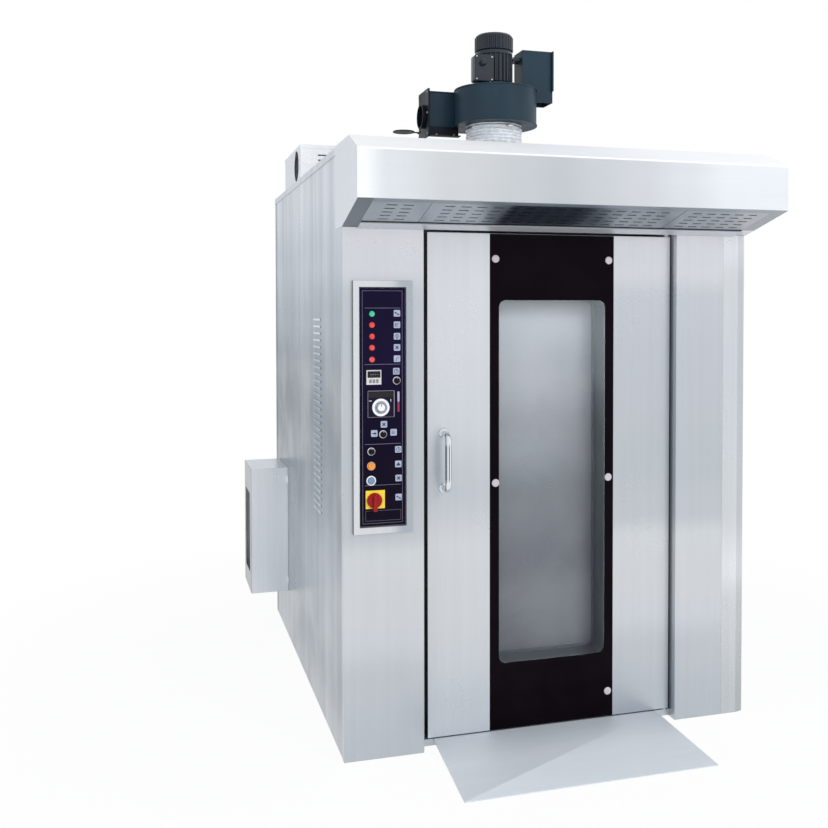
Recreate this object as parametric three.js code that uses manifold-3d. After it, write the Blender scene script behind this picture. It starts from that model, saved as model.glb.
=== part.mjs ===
// Rotating rack oven: steel body, glazed pivot door, floor turntable, exhaust hood and blower.
// Units are millimetres. +Z is up, the door faces -Y, and the origin lies on the floor under the
// turntable's axis.
import * as THREE from 'three';
import { mergeVertices } from 'three/addons/utils/BufferGeometryUtils.js';
import Module from 'manifold-3d';

const wasm = await Module();
wasm.setup();

// ---------------------------------------------------------------- driving dimensions
// Body
const BODY_W = 1700; // over the roof and the front posts
const BODY_D = 2000; // front face of the posts to the back of the roof
const BODY_H = 2310; // floor to roof
const AXIS_DEPTH = 750; // turntable axis behind the posts' front face
const SHEET = 2; // outer steel sheet
const LINER = 2; // chamber and duct sheet
const SEAT = 0.3; // gap between pieces that touch
const FLOOR_GAP = 2; // outer panels stand this far off the floor
const ROOF_LIP = 30; // downturned edge of the roof
const HEAD_H = 310; // roof above the posts
const POST_TOP = BODY_H - HEAD_H; // top of the posts, underside of the hood
const POST_DEPTH = 170; // post face to the chamber's front frame
const LEFT_POST_W = 311;
const TRIM_W = 104; // corner trim beside the right post
const TRIM_LIP = 30; // return of the trim and of the post along the side

// Base and floor
const FRAME_H = 30; // base frame section height
const FRAME_W = 50; // base frame section width
const BAR_T = 8; // flat cross bars
const BAR_W = 80;
const PAN_TOP = 34; // chamber floor above the building's floor
const PAN_SKIN = 4; // steel over the chain tunnel

// Chamber
const CHAMBER_W = 1200;
const CHAMBER_TOP = POST_TOP + 20;
const CHAMBER_BACK = 600; // rear wall behind the turntable axis
const DOORWAY_SIDE = 36; // chamber frame laps behind the door by this much
const DOORWAY_TOP = POST_TOP - 45;

// Door
const DOOR_W = 1035;
const DOOR_T = 115;
const DOOR_RECESS = 40; // door face behind the posts' face
const DOOR_BOTTOM = 38;
const DOOR_TOP_GAP = 10;
const DOOR_GAP_L = 25;
const DOOR_GAP_R = 9;
const SKIN = 3; // door skin
const GLASS_T = 6;
const GLASS_W = 529;
const WINDOW_W = GLASS_W - 76;
const WINDOW_BOTTOM = 300;
const WINDOW_TOP = POST_TOP - 270;
const WINDOW_R = 28;
const REVEAL_T = 2;
const INNER_GLASS_T = 5;
const INNER_GLASS_LAP = 18;
const CAP_R = 16;
const CAP_OUT = 6;
const STUD_R = 5;
const CAP_IN = 23; // cap centre inside the glass edge
const CAP_HEIGHTS = [POST_TOP - 109, POST_TOP / 2 + 15, 141];
const HANDLE_IN = 64; // handle centre inside the door's left edge
const HANDLE_FOOT = POST_TOP / 2 + 6; // height of the lower foot
const HANDLE_LEN = 212;
const HANDLE_OUT = 68;
const HANDLE_R = 12.5;
const PIVOT_IN = 12; // pivot axis inside the door's right edge and behind its face
const PIVOT_R = 8;
const PIVOT_PLAY = 0.3;
const PIVOT_DEPTH = 45;
const GASKET_W = 14;
const GASKET_PLAY = 1.5; // door back to the gasket

// Hood
const HOOD_OUT = 285; // in front of the posts
const HOOD_BACK = 130; // behind the posts' face
const HOOD_TOP = BODY_H + 3;
const HOOD_LIP = POST_TOP + 75; // lower edge of the front face
const HOOD_BROW = HOOD_TOP - 63; // upper edge of the front face
const HOOD_CREST_OUT = 140; // front edge of the flat top
const HOOD_OVER = 2; // wider than the body on each side
const FILTER_T = 4;
const FILTER_BORDER = 57; // plain border beside the filters
const FILTER_FRONT = 0.1; // borders as shares of the sloping underside
const FILTER_BACK = 0.79;
const FILTER_JOINTS = [272, 1275]; // panel joints from the body's left side
const FILTER_JOINT_GAP = 4;
const SLOT_PITCH_X = 61;
const SLOT_L = 38;
const SLOT_W = 9;
const SLOT_ROWS = 5;
const GUTTER_DROP = 6; // drip gutter below the sloping underside
const GUTTER_GAP = 3;

// Exhaust blower, placed from the body's left side and the posts' face
const BLOWER_X = 598;
const BLOWER_Y = 20;
const COLLAR_R = 109;
const COLLAR_WALL = 4;
const COLLAR_RIBS = 7;
const COLLAR_RIB_H = 5;
const CASING_Z = 85; // casing above the hood's top
const CASING_H = 137;
const CASING_WALL = 3;
const SCROLL_R = 150; // scroll radius at its tongue
const SCROLL_GROWTH = 22; // gained by the outlet side
const TONGUE_ANGLE = 155;
const OUTLET_X = 243; // outlet flange left of the blower's axis
const FLANGE_T = 6;
const FLANGE_LAP = 16;
const FLANGE_DROP = 38; // flange and foot below the casing
const SPIGOT_R = 45;
const SPIGOT_L = 15;
const FOOT_L = 120;
const IMPELLER_R = 118;
const IMPELLER_BLADES = 10;
const MOTOR_R = 72;
const MOTOR_H = 144;
const MOTOR_FINS = 16;
const COWL_H = 64;
const SHAFT_R = 12;
const RUN_CLEAR = 3; // running clearance of fans
const DAMPER_R = 42;
const DAMPER_ARM = 62;
const DAMPER_T = 4;
const DAMPER_PIN_R = 4;
const DAMPER_PIN = 14; // half length of the pin
const EAR_Y = [8, 12]; // pin ears beside the flap's arm
const BRACKET_X = [98, 222]; // box on the motor bracket, right of the axis
const BRACKET_H = 152;
const BOLT_R = 5;
const BOLT_H = 4;

// Roof box and circulation fan
const BOX_LEFT = 20; // from the body's left side
const BOX_W = 700;
const BOX_FRONT = 1158; // behind the posts' face
const BOX_D = 549;
const BOX_H = 176;
const BOX_SHEET = 2;
const BOX_VENT_R = 75;
const BOX_VENT_BACK = 142; // vent centre behind the box's front
const LID_H = 18;
const BOX_SLOT_ROWS = 5; // air slots in its front
const BOX_SLOT_L = 240;
const BOX_SLOT_PITCH = 24;
const FAN_X = 430; // fan axis from the body's left side
const FAN_Y = 1560;
const FAN_R = 185;
const FAN_Z = CHAMBER_TOP - 230;
const FAN_H = 120;
const FAN_BLADES = 10;
const FAN_SHAFT_R = 15;
const FAN_MOTOR_R = 85;
const FAN_MOTOR_H = 130;

// Burner and heat exchanger
const BURNER_BOX_OUT = 187;
const BURNER_BOX_Y = [1535, 1870]; // behind the posts' face
const BURNER_BOX_Z = [232, 875];
const BURNER_MOUTH_Y = [1605, 1815];
const BURNER_MOUTH_Z = [325, 740];
const BURNER_Z = 553;
const TUBE_R = 60; // burner's blast tube
const DRUM_R = 160;
const DRUM_HALF = CHAMBER_W / 2 - 40;
const HEAT_TUBES = 7;
const HEAT_TUBE_R = 30;
const DRUM_WALL = 4;
const HEADER_Z = [CHAMBER_TOP - 690, CHAMBER_TOP - 570];
const HEADER_DEPTH = 200;
const FLUE_R = 90;
const FLUE_WALL = 3;
const FLUE_IN = 50; // flue axis inside the chamber's right wall
const FLUE_RISE = 110;
const DECK_Z = [225, 255];
const INSULATION_T = 60;
const STEAM_ROOM = 90; // cavity right of the chamber
const STEAM_Y = [-250, 250];
const STEAM_Z = [300, CHAMBER_TOP - 380];
const STEAM_TRAYS = 9;
const TRAY_H = 40;
const STEAM_DEPTH = 78; // steam trays in that cavity
const WATER_IN = 60; // water pipe beside the chamber's wall
const WATER_Z = CHAMBER_TOP - 320;
const WATER_R = 12;
const WATER_OUT = 25; // pipe end behind the body

// Turntable and its drive
const DISC_R = 540;
const DISC_T = 6;
const DISC_Z = 36;
const RAIL_X = 340; // rack guide rails on the disc
const RAIL_L = 700;
const RAIL_W = 12;
const SOCKET_R = 45; // socket for the rack's centre pin
const SOCKET_BORE = 16;
const SOCKET_H = 9;
const SPINDLE_R = 15;
const HUB_R = 42;
const SPROCKET_R = 72;
const SPROCKET_Z = [17, 29];
const DRIVE_RATIO = 2;
const DRIVE_Y = 720; // gearmotor axis behind the turntable's
const CHAIN_T = 9;
const CHAIN_ROOM = 8;

// Ramp
const RAMP_BACK_W = 955;
const RAMP_FRONT_W = 990;
const RAMP_BACK_LEFT = 358; // back corner from the body's left side
const RAMP_OUT = 410;
const RAMP_T = 4;

// Control panel, placed from the body's left side; its heights are for posts PANEL_POST high
const PANEL_POST = 2000;
const BEZEL_X = [36, 264];
const BEZEL_Z = [857, 1802];
const BEZEL_W = 29;
const BEZEL_OUT = 12;
const PLATE_T = 3;
const LAMP_X = 110;
const LAMP_Z = [1678, 1637, 1594, 1552, 1508];
const LAMP_R = 11;
const TIMER_X = [88, 144];
const TIMER_Z = [1415, 1469];
const TIMER_OUT = 7;
const THERMOSTAT_X = [92, 195];
const THERMOSTAT_Z = [1292, 1392];
const DIAL_AT = [142, 1329];
const DIAL_R = 33;
const KNOB_R = 16;
const TIMER_KNOB_AT = [204, 1428];
const HEAT_KNOB_AT = [151, 1228];
const LIGHT_KNOB_AT = [106, 1165];
const STEAM_BUTTON_AT = [105, 1111];
const START_BUTTON_AT = [105, 1056];
const BUTTON_R = 13;
const BUTTON_OUT = 11;
const COLLAR_RING = 5;
const STEM_R = 5;
const STEM_PLAY = 0.8; // room round a stem that turns
const STEM_IN = 12;
const SWITCH_X = [84, 157];
const SWITCH_Z = [951, 1019];
const SWITCH_AT = [117, 982];
const SWITCH_R = 29;
const SWITCH_GRIP = 45;

// ---------------------------------------------------------------- derived places
const LEFT_X = -BODY_W / 2;
const RIGHT_X = BODY_W / 2;
const FRONT_Y = -AXIS_DEPTH;
const BACK_Y = FRONT_Y + BODY_D;
const SIDE_OUT = BODY_W / 2 - SHEET - SEAT; // outer face of the side panels
const WALL_TOP = BODY_H - SHEET - SEAT; // top of the side and rear panels
const POST_END = POST_TOP - SEAT;
const FRAME_FACE = FRONT_Y + POST_DEPTH; // front of the chamber's frame
const DOOR_LEFT = LEFT_X + LEFT_POST_W + DOOR_GAP_L;
const DOOR_RIGHT = DOOR_LEFT + DOOR_W;
const DOOR_X = DOOR_LEFT + DOOR_W / 2;
const DOOR_Y = FRONT_Y + DOOR_RECESS;
const DOOR_TOP = POST_TOP - DOOR_TOP_GAP;
const RIGHT_POST_LEFT = DOOR_RIGHT + DOOR_GAP_R;
const RIGHT_POST_RIGHT = RIGHT_X - TRIM_W - SEAT;
const CHAMBER_X = CHAMBER_W / 2;
const HOOD_BACK_Y = FRONT_Y + HOOD_BACK;
const BLOWER_AXIS_X = LEFT_X + BLOWER_X;
const BLOWER_AXIS_Y = FRONT_Y + BLOWER_Y;
const FAN_AXIS_X = LEFT_X + FAN_X;
const FAN_AXIS_Y = FRONT_Y + FAN_Y;
const BURNER_Y = FRONT_Y + (BURNER_BOX_Y[0] + BURNER_BOX_Y[1]) / 2;
const FLUE_AXIS_X = CHAMBER_X - FLUE_IN;
const WATER_X = CHAMBER_X + LINER + SEAT + WATER_IN;
const PANEL_LIFT = POST_TOP - PANEL_POST;
const DRIVE_BARS = [DRIVE_Y - 60, DRIVE_Y + 70]; // bars under the gearmotor's legs
const PLENUM_Y = [CHAMBER_BACK + LINER + SEAT, BACK_Y - 110];
const SMALL_SPROCKET_R = SPROCKET_R / DRIVE_RATIO;

// ---------------------------------------------------------------- finishes
const finish = (color, roughness, metalness) => ({ color, roughness, metalness });
const BRUSHED = finish(0xc9cfd4, 0.35, 0.9);
const BRIGHT = finish(0xe4e9ee, 0.2, 0.95);
const GALVANISED = finish(0x9aa3aa, 0.55, 0.8);
const BLACK_PAINT = finish(0x26323c, 0.5, 0.3);
const BLACK_PLASTIC = finish(0x101114, 0.4, 0);
const DARK_STEEL = finish(0x5a5f66, 0.6, 0.7);
const WOOL = finish(0xb9a77a, 0.95, 0);
const RUBBER = finish(0x15161a, 0.8, 0);
const PANEL_VIOLET = finish(0x201434, 0.35, 0);
const GLASS_BLACK = finish(0x120a12, 0.08, 0.1);
const GLASS_CLEAR = finish(0xbfc8cc, 0.05, 0);
const WHITE_PLASTIC = finish(0xeceef0, 0.4, 0);
const RED = finish(0xe03a30, 0.35, 0);
const YELLOW = finish(0xf6d63c, 0.45, 0);
const ORANGE = finish(0xf28c1e, 0.35, 0);
const STEEL_BLUE = finish(0x8fb4d6, 0.3, 0.4);

// ---------------------------------------------------------------- geometry helpers
// A closed triangle soup becomes a solid: its corners are merged, slivers of no area dropped, and
// its faces turned outwards.
function solid(geometry) {
  const soup = geometry.index ? geometry.toNonIndexed() : geometry;
  soup.deleteAttribute('normal');
  soup.deleteAttribute('uv');
  const merged = mergeVertices(soup, 1e-4);
  const index = merged.index.array;
  const points = merged.attributes.position;
  const kept = [];
  const corner = [new THREE.Vector3(), new THREE.Vector3(), new THREE.Vector3()];
  let volume = 0;
  for (let i = 0; i < index.length; i += 3) {
    const [a, b, c] = [index[i], index[i + 1], index[i + 2]];
    if (a === b || b === c || c === a) continue;
    [a, b, c].forEach((at, k) => corner[k].fromBufferAttribute(points, at));
    volume += corner[0].dot(corner[1].clone().cross(corner[2]));
    kept.push(a, b, c);
  }
  if (volume < 0) {
    for (let i = 0; i < kept.length; i += 3) [kept[i], kept[i + 1]] = [kept[i + 1], kept[i]];
  }
  return new wasm.Manifold(new wasm.Mesh({
    numProp: 3,
    vertProperties: new Float32Array(points.array),
    triVerts: new Uint32Array(kept),
  }));
}

const join = (...solids) => solids.flat().reduce((sum, next) => sum.add(next));
const cut = (from, ...tools) => tools.flat().reduce((rest, tool) => rest.subtract(tool), from);

function block([x0, x1], [y0, y1], [z0, z1]) {
  const box = new THREE.BoxGeometry(x1 - x0, y1 - y0, z1 - z0);
  return solid(box.translate((x0 + x1) / 2, (y0 + y1) / 2, (z0 + z1) / 2));
}

// Local (u, v, w) axes of an outline that is pushed along one of the model's axes
const PUSH_BASIS = {
  x: [new THREE.Vector3(0, 1, 0), new THREE.Vector3(0, 0, 1), new THREE.Vector3(1, 0, 0)],
  y: [new THREE.Vector3(1, 0, 0), new THREE.Vector3(0, 0, 1), new THREE.Vector3(0, -1, 0)],
  z: [new THREE.Vector3(1, 0, 0), new THREE.Vector3(0, 1, 0), new THREE.Vector3(0, 0, 1)],
};

// Outline (y,z), (x,z) or (x,y) pushed along X, Y or Z from one coordinate to another
function push(axis, outline, from, to, curveSegments = 8) {
  const depth = to - from;
  const corners = () => outline.map(([u, v]) => new THREE.Vector2(u, v));
  const shape = Array.isArray(outline) ? new THREE.Shape(corners()) : outline;
  const body = new THREE.ExtrudeGeometry(shape, { depth, bevelEnabled: false, curveSegments });
  if (axis === 'y') body.translate(0, 0, -to);
  else body.translate(0, 0, from);
  return solid(body.applyMatrix4(new THREE.Matrix4().makeBasis(...PUSH_BASIS[axis])));
}

// Profile of (radius, height) points turned about a line along one axis through (a, b)
const STAND = {
  x: (body) => body.rotateZ(-Math.PI / 2),
  y: (body) => body,
  z: (body) => body.rotateX(Math.PI / 2),
};
function turn(axis, profile, [x, y, z] = [0, 0, 0], sides = 24) {
  const points = profile.map(([r, h]) => new THREE.Vector2(r, h));
  const body = new THREE.LatheGeometry(points, sides);
  return solid(STAND[axis](body).translate(x, y, z));
}

// Cylinder between two coordinates of its axis
function rod(axis, radius, [from, to], [x, y, z] = [0, 0, 0], sides = 24) {
  return turn(axis, [[0, from], [radius, from], [radius, to], [0, to]], [x, y, z], sides);
}

function roundedOutline([u0, u1], [v0, v1], r) {
  const shape = new THREE.Shape();
  shape.absarc(u1 - r, v0 + r, r, -Math.PI / 2, 0);
  shape.absarc(u1 - r, v1 - r, r, 0, Math.PI / 2);
  shape.absarc(u0 + r, v1 - r, r, Math.PI / 2, Math.PI);
  shape.absarc(u0 + r, v0 + r, r, Math.PI, Math.PI * 1.5);
  shape.closePath();
  return shape;
}

// Six-sided body from four lower and four upper corners, in the same order around
function wedge(lower, upper) {
  const corners = [...lower, ...upper];
  const sides = [[0, 3, 2, 1], [4, 5, 6, 7], [0, 1, 5, 4], [1, 2, 6, 5], [2, 3, 7, 6], [3, 0, 4, 7]];
  const flat = sides.flatMap(([a, b, c, d]) => [a, b, c, a, c, d]).flatMap((at) => corners[at]);
  const body = new THREE.BufferGeometry();
  body.setAttribute('position', new THREE.Float32BufferAttribute(flat, 3));
  return solid(body);
}

// Round bar swept along a curve
function sweep(path, radius, steps, sides = 12) {
  const section = new THREE.Shape();
  section.absarc(0, 0, radius, 0, Math.PI * 2);
  const options = { extrudePath: path, steps, bevelEnabled: false, curveSegments: sides / 2 };
  return solid(new THREE.ExtrudeGeometry(section, options));
}

// Convex outline moved inwards by a wall thickness
function inset(outline, wall) {
  const count = outline.length;
  const area = outline.reduce((sum, [x, y], i) => {
    const [nx, ny] = outline[(i + 1) % count];
    return sum + x * ny - nx * y;
  }, 0);
  const edges = outline.map(([x, y], i) => {
    const [nx, ny] = outline[(i + 1) % count];
    const length = Math.hypot(nx - x, ny - y);
    const side = Math.sign(area);
    const normal = [-side * (ny - y) / length, side * (nx - x) / length];
    return { point: [x + normal[0] * wall, y + normal[1] * wall], run: [nx - x, ny - y] };
  });
  return edges.map((edge, i) => {
    const last = edges[(i + count - 1) % count];
    const cross = last.run[0] * edge.run[1] - last.run[1] * edge.run[0];
    const away = [edge.point[0] - last.point[0], edge.point[1] - last.point[1]];
    const along = (away[0] * edge.run[1] - away[1] * edge.run[0]) / cross;
    return [last.point[0] + last.run[0] * along, last.point[1] + last.run[1] * along];
  });
}

const grow = ([low, high], by) => [low - by, high + by];
const range = (count) => Array.from({ length: count }, (_, i) => i);
const radians = THREE.MathUtils.degToRad;

// ---------------------------------------------------------------- the scene
const oven = new THREE.Group();

function mesh(name, body, look, parent = oven) {
  const { vertProperties, triVerts } = body.getMesh();
  const geometry = new THREE.BufferGeometry();
  geometry.setAttribute('position', new THREE.BufferAttribute(new Float32Array(vertProperties), 3));
  geometry.setIndex(new THREE.BufferAttribute(new Uint32Array(triVerts), 1));
  geometry.computeVertexNormals();
  const piece = new THREE.Mesh(geometry, new THREE.MeshStandardMaterial({ ...look, flatShading: true }));
  piece.name = name;
  parent.add(piece);
  return piece;
}

function place(group, x, y, z, parent = oven) {
  group.position.set(x, y, z);
  parent.add(group);
  return group;
}

// ---------------------------------------------------------------- base and floor
const frameHalf = SIDE_OUT - SHEET - SEAT;
const frameFront = FRAME_FACE + SEAT;
const frameBack = BACK_Y - SHEET * 2 - SEAT * 3;
const barRows = [-460, 0, 460, ...DRIVE_BARS, 1000];

function baseFrame() {
  const ring = cut(
    block([-frameHalf, frameHalf], [frameFront, frameBack], [0, FRAME_H]),
    block([FRAME_W - frameHalf, frameHalf - FRAME_W], [frameFront + FRAME_W, frameBack - FRAME_W],
      [-1, FRAME_H + 1]),
  );
  const panWidth = CHAMBER_X + LINER;
  const underPan = block([-panWidth, panWidth], [frameFront - 1, CHAMBER_BACK + LINER],
    [BAR_T, FRAME_H + 1]);
  const bars = barRows.map((y) => block([1 - frameHalf, frameHalf - 1], [y - BAR_W / 2, y + BAR_W / 2],
    [0, BAR_T]));
  return join(cut(ring, underPan), bars);
}
mesh('base_frame', baseFrame(), DARK_STEEL);

const keyholeR = SPROCKET_R + CHAIN_T + CHAIN_ROOM;
const panFront = DOOR_Y + SEAT;
// Fixed pins at the floor and under the hood, each with a washer that the door turns on
function pivotPin(washer, reach) {
  const at = [DOOR_RIGHT - PIVOT_IN, DOOR_Y + PIVOT_IN, 0];
  return join(rod('z', PIVOT_IN - 1, washer, at), rod('z', PIVOT_R, reach, at));
}

function floorPan() {
  const half = CHAMBER_X - SEAT;
  const pan = block([-half, half], [FRAME_FACE + SEAT, CHAMBER_BACK - SEAT], [BAR_T + SEAT, PAN_TOP]);
  const sill = block([LEFT_X + LEFT_POST_W + SEAT, RIGHT_POST_LEFT - SEAT], [panFront, FRAME_FACE + 1],
    [BAR_T + SEAT, PAN_TOP]);
  const well = rod('z', keyholeR, [0, PAN_TOP + 1]);
  const slotEnd = DISC_R - 10;
  const slot = block([-keyholeR, keyholeR], [0, slotEnd], [0, PAN_TOP + 1]);
  const tunnel = block([-keyholeR, keyholeR], [slotEnd - 1, CHAMBER_BACK + 1], [0, PAN_TOP - PAN_SKIN]);
  return join(cut(join(pan, sill), well, slot, tunnel), pivotPin(
    [PAN_TOP - 1, DOOR_BOTTOM - SEAT],
    [PAN_TOP - 1, DOOR_BOTTOM + PIVOT_DEPTH - 5],
  ));
}
mesh('floor_pan', floorPan(), BRUSHED);

// ---------------------------------------------------------------- outer panels
const sideFront = FRONT_Y + TRIM_LIP + SEAT;
const sideBack = BACK_Y - SHEET - SEAT;

// Louvres pressed into the left panel: slots in rows, each under a raised blade
const LOUVRE_Y = [495, 669]; // behind the posts' face
const LOUVRE_Z = [POST_TOP / 2 - 158, POST_TOP - 347];
const LOUVRE_COUNT = 29;
const LOUVRE_H = 9;
const LOUVRE_OUT = 4;
function louvres(outFace) {
  const pitch = (LOUVRE_Z[1] - LOUVRE_Z[0]) / (LOUVRE_COUNT - 1);
  const [y0, y1] = LOUVRE_Y.map((y) => FRONT_Y + y);
  const rows = range(LOUVRE_COUNT).map((row) => LOUVRE_Z[0] + pitch * row);
  const slots = rows.map((z) => block([outFace - 1, outFace + SHEET + 1], [y0 + 4, y1 - 4],
    [z - LOUVRE_H / 2, z]));
  const blades = rows.map((z) => push('y', [
    [outFace + 0.5, z + LOUVRE_H],
    [outFace - LOUVRE_OUT, z - LOUVRE_H / 2],
    [outFace - LOUVRE_OUT + 1.2, z - LOUVRE_H / 2 - 0.8],
    [outFace + 0.5, z + LOUVRE_H * 0.6],
  ], y0, y1));
  return { slots, blades };
}

function sidePanel(hand) {
  const inner = SIDE_OUT - SHEET;
  const span = hand < 0 ? [-SIDE_OUT, -inner] : [inner, SIDE_OUT];
  return block(span, [sideFront, sideBack], [FLOOR_GAP, WALL_TOP]);
}
const burnerTube = (room, from, to) => rod('x', TUBE_R + room, [from, to], [0, BURNER_Y, BURNER_Z], 24);
const { slots, blades } = louvres(-SIDE_OUT);
const hoodSideCut = (hand) => block(
  hand < 0 ? [-BODY_W, 0] : [0, BODY_W],
  [FRONT_Y - 1, HOOD_BACK_Y + SEAT],
  [POST_TOP - SEAT, BODY_H],
);
mesh('left_side_panel', cut(join(sidePanel(-1), blades), slots, burnerTube(SEAT, -BODY_W, 0),
  hoodSideCut(-1)), BRUSHED);
mesh('right_side_panel', cut(sidePanel(1), hoodSideCut(1)), BRUSHED);

const rearSpan = SIDE_OUT - SHEET - SEAT;
const rearFace = BACK_Y - SHEET - SEAT;
mesh('rear_panel', cut(
  block([-rearSpan, rearSpan], [rearFace - SHEET, rearFace], [FLOOR_GAP, WALL_TOP]),
  rod('y', WATER_R + 1, [-BODY_D, BODY_D], [WATER_X, 0, WATER_Z], 12),
), BRUSHED);

function roofPanel() {
  const half = BODY_W / 2;
  const front = HOOD_BACK_Y + SEAT;
  const pan = block([-half, half], [front, BACK_Y], [BODY_H - ROOF_LIP, BODY_H]);
  const under = block([SHEET - half, half - SHEET], [front - 1, BACK_Y - SHEET],
    [BODY_H - ROOF_LIP - 1, BODY_H - SHEET]);
  const shaftHole = rod('z', FAN_SHAFT_R + RUN_CLEAR, [0, BODY_H + 1], [FAN_AXIS_X, FAN_AXIS_Y, 0]);
  const flueHole = rod('z', FLUE_R + SEAT, [0, BODY_H + 1], [FLUE_AXIS_X, BURNER_Y, 0], 24);
  return cut(pan, under, shaftHole, flueHole);
}
mesh('roof_panel', roofPanel(), BRUSHED);

// ---------------------------------------------------------------- front posts and lintel
const panelCut = block(
  [LEFT_X + BEZEL_X[0] + BEZEL_W, LEFT_X + BEZEL_X[1] - BEZEL_W],
  [FRONT_Y - 1, FRONT_Y + SHEET + 1],
  [BEZEL_Z[0] + BEZEL_W + PANEL_LIFT, BEZEL_Z[1] - BEZEL_W + PANEL_LIFT],
);
function controlPost() {
  const right = LEFT_X + LEFT_POST_W;
  const face = push('z', [
    [LEFT_X, FRONT_Y], [right, FRONT_Y], [right, FRAME_FACE - SEAT], [right - SHEET, FRAME_FACE - SEAT],
    [right - SHEET, FRONT_Y + SHEET], [LEFT_X + SHEET, FRONT_Y + SHEET],
    [LEFT_X + SHEET, FRONT_Y + TRIM_LIP], [LEFT_X, FRONT_Y + TRIM_LIP],
  ], FLOOR_GAP, POST_END);
  return cut(face, panelCut);
}
mesh('control_post', controlPost(), BRUSHED);

mesh('right_post', push('z', [
  [RIGHT_POST_LEFT, FRONT_Y], [RIGHT_POST_RIGHT, FRONT_Y], [RIGHT_POST_RIGHT, FRONT_Y + TRIM_LIP],
  [RIGHT_POST_RIGHT - SHEET, FRONT_Y + TRIM_LIP], [RIGHT_POST_RIGHT - SHEET, FRONT_Y + SHEET],
  [RIGHT_POST_LEFT + SHEET, FRONT_Y + SHEET], [RIGHT_POST_LEFT + SHEET, FRAME_FACE - SEAT],
  [RIGHT_POST_LEFT, FRAME_FACE - SEAT],
], FLOOR_GAP, POST_END), BRUSHED);

const TRIM_FACET = 35; // outer, set-back facet of the corner trim
const TRIM_BACK = 9;
const trimLeft = RIGHT_X - TRIM_W;
mesh('corner_trim', push('z', [
  [trimLeft, FRONT_Y], [RIGHT_X - TRIM_FACET, FRONT_Y], [RIGHT_X, FRONT_Y + TRIM_BACK],
  [RIGHT_X, FRONT_Y + TRIM_LIP], [RIGHT_X - SHEET, FRONT_Y + TRIM_LIP],
  [RIGHT_X - SHEET, FRONT_Y + TRIM_BACK + SHEET], [RIGHT_X - TRIM_FACET, FRONT_Y + SHEET],
  [trimLeft + SHEET, FRONT_Y + SHEET], [trimLeft + SHEET, FRONT_Y + TRIM_LIP],
  [trimLeft, FRONT_Y + TRIM_LIP],
], FLOOR_GAP, POST_END), BRIGHT);

// Box beam over the doorway that carries the hood
const lintelY = [HOOD_BACK_Y + SEAT, FRAME_FACE - SEAT];
mesh('door_lintel', cut(
  block([-rearSpan, rearSpan], lintelY, [POST_TOP, WALL_TOP - SEAT]),
  block([-rearSpan - 1, rearSpan + 1], [lintelY[0] + LINER, lintelY[1] - LINER],
    [POST_TOP + LINER, WALL_TOP - SEAT - LINER]),
), GALVANISED);

// ---------------------------------------------------------------- chamber
const doorway = block(
  [DOOR_LEFT + DOORWAY_SIDE, DOOR_RIGHT - DOORWAY_SIDE],
  [FRAME_FACE - 1, FRAME_FACE + LINER + 1],
  [0, DOORWAY_TOP],
);
const DUCT_Y = [-470, 500];
const DUCT_Z = [140, CHAMBER_TOP - 90];
const RETURN_X = 260; // half width of the air return in the rear wall
const RETURN_Z = [CHAMBER_TOP - 500, CHAMBER_TOP - 120];
const RETURN_BARS = 6;
const BAR_H = 14;
function chamberLiner() {
  const out = CHAMBER_X + LINER;
  const shell = block([-out, out], [FRAME_FACE, CHAMBER_BACK + LINER], [PAN_TOP + SEAT, CHAMBER_TOP + LINER]);
  const room = block([-CHAMBER_X, CHAMBER_X], [FRAME_FACE + LINER, CHAMBER_BACK], [0, CHAMBER_TOP]);
  const supply = block([-out - 1, 1 - CHAMBER_X], DUCT_Y, DUCT_Z);
  const pitch = (RETURN_Z[1] - RETURN_Z[0]) / RETURN_BARS;
  const returns = range(RETURN_BARS).map((row) => block([-RETURN_X, RETURN_X],
    [CHAMBER_BACK - 1, CHAMBER_BACK + LINER + 1],
    [RETURN_Z[0] + pitch * row, RETURN_Z[0] + pitch * (row + 1) - BAR_H]));
  return cut(shell, room, doorway, supply, returns);
}
mesh('chamber_liner', chamberLiner(), BRUSHED);

// Air duct behind the chamber's left wall: slotted face, box behind, open towards the plenum
const DUCT_DEEP = 88;
const DUCT_SLOT_ROWS = 9;
const DUCT_SLOT_COLUMNS = 2;
const DUCT_SLOT_H = 26;
const DUCT_LAP = 14; // flange around the opening
function supplyDuct() {
  const face = -CHAMBER_X - LINER - SEAT;
  const [y0, y1] = [DUCT_Y[0] - DUCT_LAP, CHAMBER_BACK + LINER];
  const box = block([face - DUCT_DEEP, face], [y0, y1], [DUCT_Z[0] - DUCT_LAP, DUCT_Z[1] + DUCT_LAP]);
  const air = block([face - DUCT_DEEP + LINER, face - LINER], [y0 + LINER, y1 + 1],
    [DUCT_Z[0] - DUCT_LAP + LINER, DUCT_Z[1] + DUCT_LAP - LINER]);
  const pitchZ = (DUCT_Z[1] - DUCT_Z[0]) / DUCT_SLOT_ROWS;
  const pitchY = (DUCT_Y[1] - DUCT_Y[0]) / DUCT_SLOT_COLUMNS;
  const mouths = range(DUCT_SLOT_ROWS).flatMap((row) => range(DUCT_SLOT_COLUMNS).map((column) => block(
    [face - LINER - 1, face + 1],
    [DUCT_Y[0] + pitchY * column + 40, DUCT_Y[0] + pitchY * (column + 1) - 40],
    [DUCT_Z[0] + pitchZ * (row + 0.5) - DUCT_SLOT_H / 2, DUCT_Z[0] + pitchZ * (row + 0.5) + DUCT_SLOT_H / 2],
  )));
  return cut(box, air, mouths);
}
mesh('supply_duct', supplyDuct(), BRUSHED);

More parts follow.
